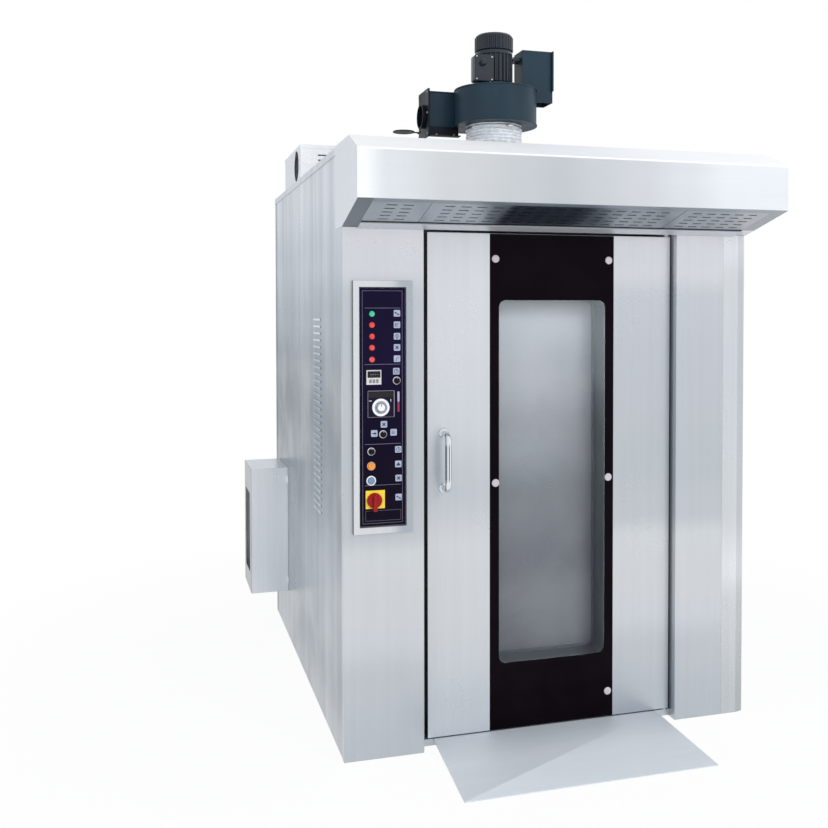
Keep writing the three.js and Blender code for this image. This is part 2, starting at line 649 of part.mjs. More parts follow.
// Mineral wool jacket round the chamber and the plenum, and the insulated deck under the plenum
const woolBottom = FRAME_H + SEAT;
const woolLeft = -CHAMBER_X - LINER - DUCT_DEEP - 3 * SEAT;
const woolRight = CHAMBER_X + LINER + STEAM_ROOM;
function insulationJacket() {
  const [left, right] = [woolLeft - INSULATION_T, woolRight + INSULATION_T];
  const front = FRAME_FACE + LINER;
  const back = PLENUM_Y[1] + INSULATION_T;
  const top = CHAMBER_TOP + LINER + INSULATION_T;
  const slabs = [
    block([left, woolLeft], [front, back], [woolBottom, top]),
    block([woolRight, right], [front, back], [woolBottom, top]),
    block([left, right], [front, back], [CHAMBER_TOP + LINER + SEAT, top]),
    block([left, right], [PLENUM_Y[1], back], [woolBottom, top]),
  ];
  const bores = [
    burnerTube(SEAT, -BODY_W, 0),
    rod('z', FAN_SHAFT_R + RUN_CLEAR, [CHAMBER_TOP, BODY_H], [FAN_AXIS_X, FAN_AXIS_Y, 0]),
    rod('z', FLUE_R + SEAT, [CHAMBER_TOP, BODY_H], [FLUE_AXIS_X, BURNER_Y, 0], 24),
    rod('y', WATER_R + 3, [0, BODY_D], [WATER_X, 0, WATER_Z], 12),
  ];
  return cut(join(slabs), bores);
}
mesh('insulation_jacket', insulationJacket(), WOOL);
mesh('plenum_deck', block([woolLeft + SEAT, woolRight - SEAT], [PLENUM_Y[0], PLENUM_Y[1] - SEAT], DECK_Z),
  GALVANISED);

// Combustion drum and tube bank on saddles
function heatExchanger() {
  const along = [0, BURNER_Y, BURNER_Z];
  const drum = cut(
    rod('x', DRUM_R, [-DRUM_HALF, DRUM_HALF], along, 24),
    rod('x', DRUM_R - DRUM_WALL, grow([-DRUM_HALF, DRUM_HALF], -DRUM_WALL), along, 24),
    rod('x', TUBE_R + 2, [-DRUM_HALF - 1, 0], along, 24),
  );
  const tubeEnd = DRUM_HALF - HEAT_TUBE_R * 2;
  const pitch = tubeEnd * 2 / (HEAT_TUBES - 1);
  const tubes = range(HEAT_TUBES).map((i) => rod('z', HEAT_TUBE_R,
    [BURNER_Z + DRUM_R - DRUM_WALL, HEADER_Z[0] - SEAT], [pitch * i - tubeEnd, BURNER_Y, 0], 8));
  const saddles = [-DRUM_HALF * 0.7, DRUM_HALF * 0.7].map((x) => cut(
    block(grow([x, x], 20), grow([BURNER_Y, BURNER_Y], 120), [DECK_Z[1] + SEAT, BURNER_Z]),
    rod('x', DRUM_R - 1, [-DRUM_HALF, DRUM_HALF], along, 24),
  ));
  return join(drum, tubes, saddles);
}
mesh('heat_exchanger', heatExchanger(), DARK_STEEL);

// Smoke box on top of the tubes, with the flue that leaves through the roof
function flueHeader() {
  const headerX = [-DRUM_HALF, FLUE_AXIS_X + FLUE_R - SHEET];
  const headerY = grow([BURNER_Y, BURNER_Y], HEADER_DEPTH / 2);
  const header = cut(block(headerX, headerY, HEADER_Z),
    block(grow(headerX, -DRUM_WALL), grow(headerY, -DRUM_WALL), grow(HEADER_Z, -DRUM_WALL)));
  const flueAt = [FLUE_AXIS_X, BURNER_Y, 0];
  const flueTop = BODY_H + FLUE_RISE;
  const flue = rod('z', FLUE_R, [HEADER_Z[1] - 1, flueTop], flueAt, 24);
  const bore = rod('z', FLUE_R - FLUE_WALL, [HEADER_Z[1] - DRUM_WALL - 1, flueTop + 1], flueAt, 24);
  return cut(join(header, flue), bore);
}
mesh('flue_header', flueHeader(), DARK_STEEL);

// Stack of cast trays in the right-hand cavity, fed by a pipe from the rear panel
function steamGenerator() {
  const [x0, x1] = [CHAMBER_X + LINER + SEAT, CHAMBER_X + LINER + STEAM_DEPTH];
  const back = block([x0, x0 + 4], STEAM_Y, STEAM_Z);
  const pitch = (STEAM_Z[1] - STEAM_Z[0]) / STEAM_TRAYS;
  const trays = range(STEAM_TRAYS).map((i) => block([x0, x1], STEAM_Y,
    [STEAM_Z[0] + pitch * i, STEAM_Z[0] + pitch * i + TRAY_H]));
  const pan = block([x0, x1], [STEAM_Y[0] - 20, STEAM_Y[1] + 20], [woolBottom, STEAM_Z[0] + 1]);
  const path = new THREE.CurvePath();
  const lead = new THREE.Vector3(WATER_X, 0, STEAM_Z[1] - pitch + TRAY_H - 5);
  const bend = 50;
  const riser = new THREE.Vector3(WATER_X, 0, WATER_Z - bend);
  const run = new THREE.Vector3(WATER_X, bend, WATER_Z);
  path.add(new THREE.LineCurve3(lead, riser));
  path.add(new THREE.QuadraticBezierCurve3(riser, new THREE.Vector3(WATER_X, 0, WATER_Z), run));
  path.add(new THREE.LineCurve3(run, new THREE.Vector3(WATER_X, BACK_Y + WATER_OUT, WATER_Z)));
  return join(back, trays, pan, sweep(path, WATER_R, 20, 8));
}
mesh('steam_generator', steamGenerator(), DARK_STEEL);

// ---------------------------------------------------------------- burner and its cover
const boxY = BURNER_BOX_Y.map((y) => FRONT_Y + y);
const boxLeft = LEFT_X - BURNER_BOX_OUT;
const boxRight = -SIDE_OUT - SEAT;
function burnerBox() {
  const shell = block([boxLeft, boxRight], boxY, BURNER_BOX_Z);
  const room = block([boxLeft + SHEET, boxRight + 1], [boxY[0] + SHEET, boxY[1] - SHEET],
    [BURNER_BOX_Z[0] + SHEET, BURNER_BOX_Z[1] - SHEET]);
  const mouth = block([boxLeft - 1, boxLeft + SHEET + 1], BURNER_MOUTH_Y.map((y) => FRONT_Y + y),
    BURNER_MOUTH_Z);
  const LUG = 16;
  const lugs = [BURNER_BOX_Z[0] + 60, BURNER_BOX_Z[1] - 60].flatMap((z) => [
    block([boxRight - SHEET, boxRight], [boxY[0] - LUG, boxY[0] + 1], [z - LUG, z + LUG]),
    block([boxRight - SHEET, boxRight], [boxY[1] - 1, boxY[1] + LUG], [z - LUG, z + LUG]),
  ]);
  return join(cut(shell, room, mouth), lugs);
}
mesh('burner_box', burnerBox(), BRUSHED);

const BURNER_BODY = [70, 90, 130]; // half sizes of the burner's housing
const BURNER_FLANGE = 95;
function burner() {
  const flangeX = boxRight - 10;
  const bodyX = flangeX - BURNER_BODY[0] * 2;
  const housing = block([bodyX, flangeX], [BURNER_Y - BURNER_BODY[1], BURNER_Y + BURNER_BODY[1]],
    [BURNER_Z - BURNER_BODY[2], BURNER_Z + BURNER_BODY[2]]);
  const fan = rod('y', BURNER_BODY[0] * 0.94, [-BURNER_BODY[1] - 30, -BURNER_BODY[1] + 1],
    [bodyX + BURNER_BODY[0], BURNER_Y, BURNER_Z], 24);
  const flange = rod('x', BURNER_FLANGE, [flangeX - 1, boxRight], [0, BURNER_Y, BURNER_Z], 24);
  const tube = cut(
    rod('x', TUBE_R, [boxRight - 1, 120 - DRUM_HALF], [0, BURNER_Y, BURNER_Z], 24),
    rod('x', TUBE_R - 4, [boxRight + 40, 121 - DRUM_HALF], [0, BURNER_Y, BURNER_Z], 24),
  );
  return join(housing, fan, flange, tube);
}
mesh('burner', burner(), BLACK_PAINT);

// ---------------------------------------------------------------- turntable and drive
const turntable = place(new THREE.Group(), 0, 0, 0);
const bearingTop = 27;
const FLANGE_H = 5.7;
const BEARING_FLANGE_R = 76;
const bearingFoot = BAR_T + SEAT;
mesh('bearing_housing', turn('z', [
  [0, bearingFoot], [BEARING_FLANGE_R, bearingFoot], [BEARING_FLANGE_R, bearingFoot + FLANGE_H],
  [HUB_R, bearingFoot + FLANGE_H], [HUB_R, bearingTop], [SPINDLE_R + SEAT, bearingTop],
  [SPINDLE_R + SEAT, bearingFoot + FLANGE_H / 2], [0, bearingFoot + FLANGE_H / 2],
], [0, 0, 0], 24), DARK_STEEL);

const spindleFoot = bearingFoot + FLANGE_H / 2 + SEAT;
const spindleTop = DISC_Z - SEAT;
mesh('turntable_spindle', turn('z', [
  [0, spindleFoot], [SPINDLE_R, spindleFoot], [SPINDLE_R, bearingTop + 2], [HUB_R + 4, bearingTop + 2],
  [HUB_R + 4, SPROCKET_Z[0]], [SPROCKET_R, SPROCKET_Z[0]], [SPROCKET_R, spindleTop], [0, spindleTop],
], [0, 0, 0], 28), DARK_STEEL, turntable);

function turntableDisc() {
  const top = DISC_Z + DISC_T;
  const disc = rod('z', DISC_R, [DISC_Z, top], [0, 0, 0], 64);
  const rails = [-RAIL_X, RAIL_X].map((x) => block([x - RAIL_W / 2, x + RAIL_W / 2],
    [-RAIL_L / 2, RAIL_L / 2], [top - 1, top + RAIL_W]));
  const socket = rod('z', SOCKET_R, [top - 1, top + SOCKET_H]);
  const bore = rod('z', SOCKET_BORE, [DISC_Z + 2, top + SOCKET_H + 1]);
  return cut(join(disc, rails, socket), bore);
}
mesh('turntable_disc', turntableDisc(), BRUSHED, turntable);

// Chain round both sprockets: arcs joined by the outer tangents
function loopOutline(bigR, smallR, distance) {
  const lean = Math.asin((bigR - smallR) / distance);
  const shape = new THREE.Shape();
  shape.absarc(0, 0, bigR, Math.PI - lean, Math.PI * 2 + lean);
  shape.absarc(0, distance, smallR, lean, Math.PI - lean);
  shape.closePath();
  return shape;
}
const chainIn = loopOutline(SPROCKET_R + SEAT, SMALL_SPROCKET_R + SEAT, DRIVE_Y);
const chainOut = loopOutline(SPROCKET_R + CHAIN_T, SMALL_SPROCKET_R + CHAIN_T, DRIVE_Y);
mesh('drive_chain', cut(
  push('z', chainOut, SPROCKET_Z[0] + 1, SPROCKET_Z[1] - 1, 12),
  push('z', chainIn, 0, PAN_TOP, 12),
), DARK_STEEL);

const OUTPUT_R = 12;
const outputTop = 75;
mesh('drive_sprocket', join(
  rod('z', SMALL_SPROCKET_R, SPROCKET_Z, [0, DRIVE_Y, 0], 28),
  rod('z', OUTPUT_R, [SPROCKET_Z[0] - 3, outputTop], [0, DRIVE_Y, 0]),
), DARK_STEEL);

const GEARBOX = [65, 60, 160]; // half width, half depth and top
const GEARMOTOR_R = 55;
const GEARMOTOR_L = 190;
const GEARMOTOR_Z = 104;
const GEAR_PLATE = [110, 88, 8]; // half width, half depth and thickness
function gearmotor() {
  const plateZ = [40, 40 + GEAR_PLATE[2]];
  const half = GEAR_PLATE[0];
  const plate = block([-half, half], grow([DRIVE_Y, DRIVE_Y], GEAR_PLATE[1]), plateZ);
  const legs = DRIVE_BARS.flatMap((y) => [12 - half, half - 12].map((x) => block(grow([x, x], 11),
    grow([y, y], 11), [BAR_T + SEAT, plateZ[1]])));
  const gearbox = block([-GEARBOX[0], GEARBOX[0]], grow([DRIVE_Y, DRIVE_Y], GEARBOX[1]),
    [plateZ[0], GEARBOX[2]]);
  const end = GEARBOX[0] + GEARMOTOR_L;
  const motor = rod('x', GEARMOTOR_R, [GEARBOX[0] - 1, end], [0, DRIVE_Y, GEARMOTOR_Z], 24);
  const fanCover = rod('x', GEARMOTOR_R + 3, [end - 30, end + 7], [0, DRIVE_Y, GEARMOTOR_Z], 24);
  const bore = rod('z', OUTPUT_R + SEAT, [0, outputTop + SEAT], [0, DRIVE_Y, 0]);
  return cut(join(plate, legs, gearbox, motor, fanCover), bore);
}
mesh('turntable_gearmotor', gearmotor(), finish(0x2f5d80, 0.5, 0.3));

// ---------------------------------------------------------------- circulation fan
const boxFloor = BODY_H + SEAT;
function circulationFan() {
  const top = FAN_Z + FAN_H;
  const hubPlate = rod('z', FAN_R, [top - 4, top], [0, 0, 0], 28);
  const ring = cut(rod('z', FAN_R, [FAN_Z, FAN_Z + 4], [0, 0, 0], 28),
    rod('z', FAN_R * 0.6, [FAN_Z - 1, FAN_Z + 5], [0, 0, 0], 28));
  const shaft = rod('z', FAN_SHAFT_R, [FAN_Z + 20, BODY_H + 60]);
  const blade = (turnBy) => {
    const flat = new THREE.BoxGeometry(FAN_R * 0.42, 4, FAN_H - 2);
    flat.rotateZ(radians(35)).translate(FAN_R * 0.74, 0, FAN_Z + FAN_H / 2).rotateZ(turnBy);
    return solid(flat);
  };
  const blades = range(FAN_BLADES).map((i) => blade(Math.PI * 2 * i / FAN_BLADES));
  return join(hubPlate, ring, shaft, blades);
}
place(mesh('circulation_fan', circulationFan(), GALVANISED), FAN_AXIS_X, FAN_AXIS_Y, 0);

function circulationMotor() {
  const foot = rod('z', FAN_MOTOR_R + 18, [boxFloor, boxFloor + 8], [0, 0, 0], 24);
  const can = rod('z', FAN_MOTOR_R, [boxFloor + 7, boxFloor + FAN_MOTOR_H], [0, 0, 0], 24);
  const bore = rod('z', FAN_SHAFT_R + SEAT, [boxFloor - 1, BODY_H + 60 + SEAT]);
  return cut(join(foot, can), bore);
}
place(mesh('circulation_motor', circulationMotor(), BLACK_PAINT), FAN_AXIS_X, FAN_AXIS_Y, 0);

// Ventilated box over the fan motor, with a lipped lid and a round opening to the left
function roofBox() {
  const x = [LEFT_X + BOX_LEFT, LEFT_X + BOX_LEFT + BOX_W];
  const y = [FRONT_Y + BOX_FRONT, FRONT_Y + BOX_FRONT + BOX_D];
  const top = boxFloor + BOX_H;
  const shell = block(x, y, [boxFloor, top]);
  const lid = block([x[0] - BOX_SHEET, x[1] + BOX_SHEET], [y[0] - BOX_SHEET, y[1] + BOX_SHEET],
    [top - LID_H, top]);
  const room = block([x[0] + BOX_SHEET, x[1] - BOX_SHEET], [y[0] + BOX_SHEET, y[1] - BOX_SHEET],
    [boxFloor - 1, top - BOX_SHEET]);
  const vent = rod('x', BOX_VENT_R, grow([x[0], x[0]], 5), [0, y[0] + BOX_VENT_BACK, boxFloor + BOX_H / 2]);
  const slotRows = range(BOX_SLOT_ROWS).flatMap((row) => [0.12, 0.54].map((share) => block(
    [x[0] + BOX_W * share, x[0] + BOX_W * share + BOX_SLOT_L],
    grow([y[0], y[0]], 5),
    grow([boxFloor + 31 + row * BOX_SLOT_PITCH, boxFloor + 31 + row * BOX_SLOT_PITCH], 3),
  )));
  return cut(join(shell, lid), room, vent, slotRows);
}
mesh('roof_box', roofBox(), BRUSHED);

// ---------------------------------------------------------------- door
const door = place(new THREE.Group(), DOOR_X, DOOR_Y, 0);
const doorHalf = DOOR_W / 2;
const pivotX = doorHalf - PIVOT_IN;
const glassHalf = GLASS_W / 2;
const windowX = [-WINDOW_W / 2, WINDOW_W / 2];
const windowZ = [WINDOW_BOTTOM, WINDOW_TOP];
const pivotBore = (half, z) => rod('z', PIVOT_R + PIVOT_PLAY, z, [half, PIVOT_IN, 0]);

// Studs with domed caps hold the glass: a pair at the top, a pair in the middle, one lower right
const capReach = glassHalf - CAP_IN;
const capPlaces = CAP_HEIGHTS.flatMap((z) => [[-capReach, z], [capReach, z]])
  .filter(([x, z]) => x > 0 || z > CAP_HEIGHTS[2]);
function glassStuds() {
  const profile = [
    [0, -CAP_OUT], [CAP_R * 0.6, -CAP_OUT * 0.88], [CAP_R, -CAP_OUT * 0.4], [CAP_R, -SEAT],
    [STUD_R, -SEAT], [STUD_R, GLASS_T + 2], [0, GLASS_T + 2],
  ];
  return capPlaces.map(([x, z]) => turn('y', profile, [x, 0, z], 12));
}

function doorShell() {
  const half = doorHalf - SKIN - SEAT;
  const body = block([-half, half], [GLASS_T + SEAT, DOOR_T], [DOOR_BOTTOM, DOOR_TOP]);
  const tunnel = push('y', roundedOutline(grow(windowX, REVEAL_T + SEAT), grow(windowZ, REVEAL_T + SEAT),
    WINDOW_R + REVEAL_T + SEAT), 0, DOOR_T + 1, 3);
  const lap = INNER_GLASS_LAP + SEAT;
  const rebate = block(grow(windowX, lap), [DOOR_T - INNER_GLASS_T - 2 * SEAT, DOOR_T + 1],
    grow(windowZ, lap));
  const bores = [
    pivotBore(pivotX, [DOOR_BOTTOM - 1, DOOR_BOTTOM + PIVOT_DEPTH]),
    pivotBore(pivotX, [DOOR_TOP - PIVOT_DEPTH, DOOR_TOP + 1]),
  ];
  return join(cut(body, doorCavity(half, lap), tunnel, rebate, bores), glassStuds());
}

// Room for the door's wool: it runs all round the window and opens at the top, clear of the pivots
function doorCavity(half, lap) {
  const room = block(grow([-half, half], -SKIN), [GLASS_T + SEAT + SKIN, DOOR_T - SKIN],
    grow([DOOR_BOTTOM, DOOR_TOP], -SKIN));
  const mouth = block([-glassHalf, glassHalf], grow([DOOR_T / 2, DOOR_T / 2], 20),
    [DOOR_TOP - SKIN - 1, DOOR_TOP + 1]);
  const wall = REVEAL_T + SEAT + SKIN;
  const windowWall = block(grow(windowX, wall), [0, DOOR_T], grow(windowZ, wall));
  const glassWall = block(grow(windowX, lap + SKIN), [DOOR_T - INNER_GLASS_T - 2 * SEAT - SKIN, DOOR_T],
    grow(windowZ, lap + SKIN));
  const depth = PIVOT_DEPTH + SKIN;
  const pivots = [[DOOR_BOTTOM, DOOR_BOTTOM + depth], [DOOR_TOP - depth, DOOR_TOP]].map((z) => block(
    [pivotX - PIVOT_IN, doorHalf], [0, 2 * PIVOT_IN + SKIN], z));
  return cut(join(room, mouth), windowWall, glassWall, pivots);
}
mesh('door_shell', doorShell(), GALVANISED, door);

// Folded skins left and right of the glass; each wraps the door's outer edge
function doorSkin(hand) {
  const inner = glassHalf + SEAT;
  return cut(push('z', [
    [hand * inner, 0], [hand * doorHalf, 0], [hand * doorHalf, DOOR_T],
    [hand * (doorHalf - SKIN), DOOR_T], [hand * (doorHalf - SKIN), SKIN], [hand * (inner + SKIN), SKIN],
    [hand * (inner + SKIN), GLASS_T], [hand * inner, GLASS_T],
  ], DOOR_BOTTOM, DOOR_TOP), pivotBore(pivotX, [0, BODY_H]));
}
mesh('door_skin_left', doorSkin(-1), BRUSHED, door);
mesh('door_skin_right', doorSkin(1), BRUSHED, door);

mesh('outer_glass', cut(
  block([-glassHalf, glassHalf], [0, GLASS_T], [DOOR_BOTTOM + 2, DOOR_TOP - 2]),
  capPlaces.map(([x, z]) => rod('y', STUD_R + SEAT, [-1, GLASS_T + 1], [x, 0, z], 12)),
), GLASS_BLACK, door);
mesh('inner_glass', block(grow(windowX, INNER_GLASS_LAP),
  [DOOR_T - INNER_GLASS_T - SEAT, DOOR_T - SEAT], grow(windowZ, INNER_GLASS_LAP)), GLASS_CLEAR, door);
mesh('window_reveal', cut(
  push('y', roundedOutline(grow(windowX, REVEAL_T), grow(windowZ, REVEAL_T), WINDOW_R + REVEAL_T),
    GLASS_T + SEAT, DOOR_T - INNER_GLASS_T - 2 * SEAT, 3),
  push('y', roundedOutline(windowX, windowZ, WINDOW_R), 0, DOOR_T, 3),
), BRUSHED, door);

const HANDLE_BEND = 26;
const HANDLE_ROSE = 19;
function doorHandle() {
  const [foot, top] = [HANDLE_FOOT, HANDLE_FOOT + HANDLE_LEN];
  const at = (y, z) => new THREE.Vector3(0, y, z);
  const path = new THREE.CurvePath();
  path.add(new THREE.LineCurve3(at(-SEAT, foot), at(HANDLE_BEND - HANDLE_OUT, foot)));
  path.add(new THREE.QuadraticBezierCurve3(at(HANDLE_BEND - HANDLE_OUT, foot), at(-HANDLE_OUT, foot),
    at(-HANDLE_OUT, foot + HANDLE_BEND)));
  path.add(new THREE.LineCurve3(at(-HANDLE_OUT, foot + HANDLE_BEND), at(-HANDLE_OUT, top - HANDLE_BEND)));
  path.add(new THREE.QuadraticBezierCurve3(at(-HANDLE_OUT, top - HANDLE_BEND), at(-HANDLE_OUT, top),
    at(HANDLE_BEND - HANDLE_OUT, top)));
  path.add(new THREE.LineCurve3(at(HANDLE_BEND - HANDLE_OUT, top), at(-SEAT, top)));
  const roses = [foot, top].map((z) => rod('y', HANDLE_ROSE, [-4, -SEAT], [0, 0, z], 16));
  return join(sweep(path, HANDLE_R, 24, 12), roses);
}
place(mesh('door_handle', doorHandle(), BRIGHT), HANDLE_IN - doorHalf, 0, 0, door);

const gasketFront = DOOR_Y + DOOR_T + GASKET_PLAY;
mesh('door_gasket', cut(
  block([DOOR_LEFT + DOORWAY_SIDE - GASKET_W, DOOR_RIGHT - DOORWAY_SIDE + GASKET_W],
    [gasketFront, FRAME_FACE - SEAT], [PAN_TOP + SEAT, DOORWAY_TOP + GASKET_W]),
  block([DOOR_LEFT + DOORWAY_SIDE, DOOR_RIGHT - DOORWAY_SIDE],
    [gasketFront - 1, FRAME_FACE], [0, DOORWAY_TOP]),
), RUBBER);

// ---------------------------------------------------------------- hood
const hoodHalf = BODY_W / 2 + HOOD_OVER;
const hoodFront = FRONT_Y - HOOD_OUT;
const hoodOutline = [
  [HOOD_BACK_Y, POST_TOP], [HOOD_BACK_Y, HOOD_TOP], [FRONT_Y - HOOD_CREST_OUT, HOOD_TOP],
  [hoodFront, HOOD_BROW], [hoodFront, HOOD_LIP], [FRONT_Y, POST_TOP],
];
const slopeLength = Math.hypot(HOOD_OUT, HOOD_LIP - POST_TOP);
const slopeAngle = Math.atan2(HOOD_LIP - POST_TOP, HOOD_OUT);

// Body built flat, X across and Y from the front lip towards the posts, then laid on the slope
function onSlope(body) {
  return body.rotateX(-slopeAngle).translate(0, hoodFront, HOOD_LIP);
}
const slopeSpan = [slopeLength * FILTER_FRONT, slopeLength * FILTER_BACK];
const filterX = [LEFT_X + FILTER_BORDER, RIGHT_X - FILTER_BORDER];

function slopeBlock(x, y, z) {
  const flat = new THREE.BoxGeometry(x[1] - x[0], y[1] - y[0], z[1] - z[0]);
  flat.translate((x[0] + x[1]) / 2, (y[0] + y[1]) / 2, (z[0] + z[1]) / 2);
  return solid(onSlope(flat));
}

function hoodShell() {
  const shell = push('x', hoodOutline, -hoodHalf, hoodHalf);
  const room = push('x', inset(hoodOutline, SHEET), SHEET - hoodHalf, hoodHalf - SHEET);
  const window = slopeBlock(filterX, slopeSpan, [-20, 20]);
  const collarHole = rod('z', COLLAR_R - COLLAR_WALL - COLLAR_RIB_H, [HOOD_TOP - 20, HOOD_TOP + 1],
    [BLOWER_AXIS_X, BLOWER_AXIS_Y, 0], 24);
  const gutter = slopeBlock(filterX, [slopeSpan[1] + GUTTER_GAP, slopeLength - GUTTER_GAP],
    [-GUTTER_DROP, 1]);
  const pin = pivotPin([DOOR_TOP + SEAT, POST_TOP + 1], [DOOR_TOP - PIVOT_DEPTH + 5, POST_TOP + 1]);
  return join(cut(shell, room, window, collarHole), gutter, pin);
}
mesh('hood_shell', hoodShell(), BRIGHT);

// Slotted filter panels in the hood's sloping underside
function filterPanel([x0, x1]) {
  const y = [slopeSpan[0] + SEAT, slopeSpan[1] - SEAT];
  const columns = Math.floor((x1 - x0 - SLOT_PITCH_X / 2) / SLOT_PITCH_X);
  const margin = (x1 - x0 - columns * SLOT_PITCH_X) / 2;
  const pitchY = (y[1] - y[0]) / (SLOT_ROWS + 0.6);
  const slots = range(columns).flatMap((column) => range(SLOT_ROWS).map((row) => {
    const cx = x0 + margin + SLOT_PITCH_X * (column + 0.5);
    const cy = y[0] + pitchY * (row + 0.8);
    return slopeBlock([cx - SLOT_L / 2, cx + SLOT_L / 2], [cy - SLOT_W / 2, cy + SLOT_W / 2],
      [-1, FILTER_T + 1]);
  }));
  return cut(slopeBlock([x0, x1], y, [0, FILTER_T]), slots);
}
const filterStops = [
  filterX[0] + SEAT,
  ...FILTER_JOINTS.flatMap((x) => [LEFT_X + x - FILTER_JOINT_GAP / 2, LEFT_X + x + FILTER_JOINT_GAP / 2]),
  filterX[1] - SEAT,
];
const joiners = FILTER_JOINTS.map((x) => slopeBlock(grow([LEFT_X + x, LEFT_X + x], FILTER_JOINT_GAP),
  grow(slopeSpan, -SEAT), [FILTER_T / 2, FILTER_T]));
mesh('hood_filters', join(
  range(3).map((i) => filterPanel([filterStops[2 * i], filterStops[2 * i + 1]])),
  joiners,
), GALVANISED);

// ---------------------------------------------------------------- exhaust blower
const blower = place(new THREE.Group(), BLOWER_AXIS_X, BLOWER_AXIS_Y, HOOD_TOP);
const casingTop = CASING_Z + CASING_H;
const inletR = COLLAR_R - COLLAR_WALL - COLLAR_RIB_H;

// Flexible collar between the hood and the fan: a bore inside rings of ribs
function flexCollar() {
  const foot = SEAT;
  const top = CASING_Z - SEAT;
  const pitch = (top - foot) / COLLAR_RIBS;
  const ribs = range(COLLAR_RIBS).flatMap((i) => [
    [COLLAR_R - COLLAR_RIB_H, foot + pitch * i],
    [COLLAR_R, foot + pitch * (i + 0.5)],
  ]);
  const bore = COLLAR_R - COLLAR_RIB_H - COLLAR_WALL;
  return turn('z', [[bore, foot], ...ribs, [COLLAR_R - COLLAR_RIB_H, top], [bore, top], [bore, foot]],
    [0, 0, 0], 24);
}
mesh('flex_collar', flexCollar(), BRIGHT, blower);

// Scroll seen from above: the radius grows from the tongue round to the outlet's rear wall
function scrollOutline(wall) {
  const steps = 28;
  const end = 450;
  const points = range(steps + 1).map((i) => {
    const angle = TONGUE_ANGLE + (end - TONGUE_ANGLE) * i / steps;
    const r = SCROLL_R + SCROLL_GROWTH * i / steps - wall;
    return [r * Math.cos(radians(angle)), r * Math.sin(radians(angle))];
  });
  const rear = SCROLL_R + SCROLL_GROWTH - wall;
  const front = SCROLL_R * Math.sin(radians(TONGUE_ANGLE)) + wall;
  const mouth = wall ? -OUTLET_X - 1 : -OUTLET_X;
  return [...points, [mouth, rear], [mouth, front], [points[0][0], front]];
}

const outletY = [SCROLL_R * Math.sin(radians(TONGUE_ANGLE)), SCROLL_R + SCROLL_GROWTH];
const spigotY = (outletY[0] + outletY[1]) / 2;
const spigotZ = CASING_Z + CASING_H * 0.34;
const flangeX = -OUTLET_X;
const damperX = flangeX - FLANGE_T - SPIGOT_L - SEAT - DAMPER_T / 2;
const damperZ = spigotZ - DAMPER_ARM;
// Zinc bolt heads on the outlet flange, the foot and the casing's top
function boltHeads() {
  const face = flangeX - FLANGE_T;
  const flangeBolts = [CASING_Z - 20, CASING_Z + 62, casingTop].flatMap((z) => grow(outletY, FLANGE_LAP / 2)
    .map((y) => rod('x', BOLT_R, [face - BOLT_H, face + 1], [0, y, z], 8)));
  const footY = outletY[0] - 20;
  const footZ = CASING_Z - FLANGE_DROP + 4;
  const footBolts = [30, 65, 100].map((x) => rod('z', BOLT_R, [footZ - 1, footZ + BOLT_H],
    [flangeX + x, footY, 0], 8));
  const topBolts = [[-118, 48], [-60, -118], [88, -96]].map(([x, y]) => rod('z', BOLT_R,
    [casingTop - 1, casingTop + BOLT_H], [x, y, 0], 8));
  return [...flangeBolts, ...footBolts, ...topBolts];
}

// Ears on the outlet flange carry the flap's pin
function damperEars() {
  const bore = rod('y', DAMPER_PIN_R + SEAT, grow([spigotY, spigotY], DAMPER_PIN), [damperX, 0, damperZ], 12);
  return [-1, 1].map((hand) => cut(block([damperX - 7, flangeX - FLANGE_T + 1],
    EAR_Y.map((y) => spigotY + hand * y).sort((a, b) => a - b), grow([damperZ, damperZ], 7)), bore));
}

function blowerCasing() {
  const shell = push('z', scrollOutline(0), CASING_Z, casingTop);
  const room = push('z', scrollOutline(CASING_WALL), CASING_Z + CASING_WALL, casingTop - CASING_WALL);
  const inlet = rod('z', inletR, [CASING_Z - 1, CASING_Z + CASING_WALL + 1], [0, 0, 0], 24);
  const shaftHole = rod('z', SHAFT_R + RUN_CLEAR, [CASING_Z, casingTop + 1]);
  const flange = block([flangeX - FLANGE_T, flangeX], grow(outletY, FLANGE_LAP),
    [CASING_Z - FLANGE_DROP, casingTop + FLANGE_LAP / 2]);
  const spigot = rod('x', SPIGOT_R, [flangeX - FLANGE_T - SPIGOT_L, flangeX - 1], [0, spigotY, spigotZ], 28);
  const mouth = rod('x', SPIGOT_R - CASING_WALL, [flangeX - BODY_W, flangeX + 5], [0, spigotY, spigotZ], 28);
  const foot = block([flangeX - 1, flangeX + FOOT_L], [outletY[0] - 4, outletY[0]],
    [CASING_Z - FLANGE_DROP, CASING_Z + 1]);
  const footFlange = block([flangeX - 1, flangeX + FOOT_L], [outletY[0] - 34, outletY[0]],
    [CASING_Z - FLANGE_DROP, CASING_Z - FLANGE_DROP + 4]);
  return cut(join(cut(shell, room, inlet, shaftHole), flange, spigot, foot, footFlange, boltHeads(),
    damperEars()), mouth);
}
mesh('blower_casing', blowerCasing(), BLACK_PAINT, blower);

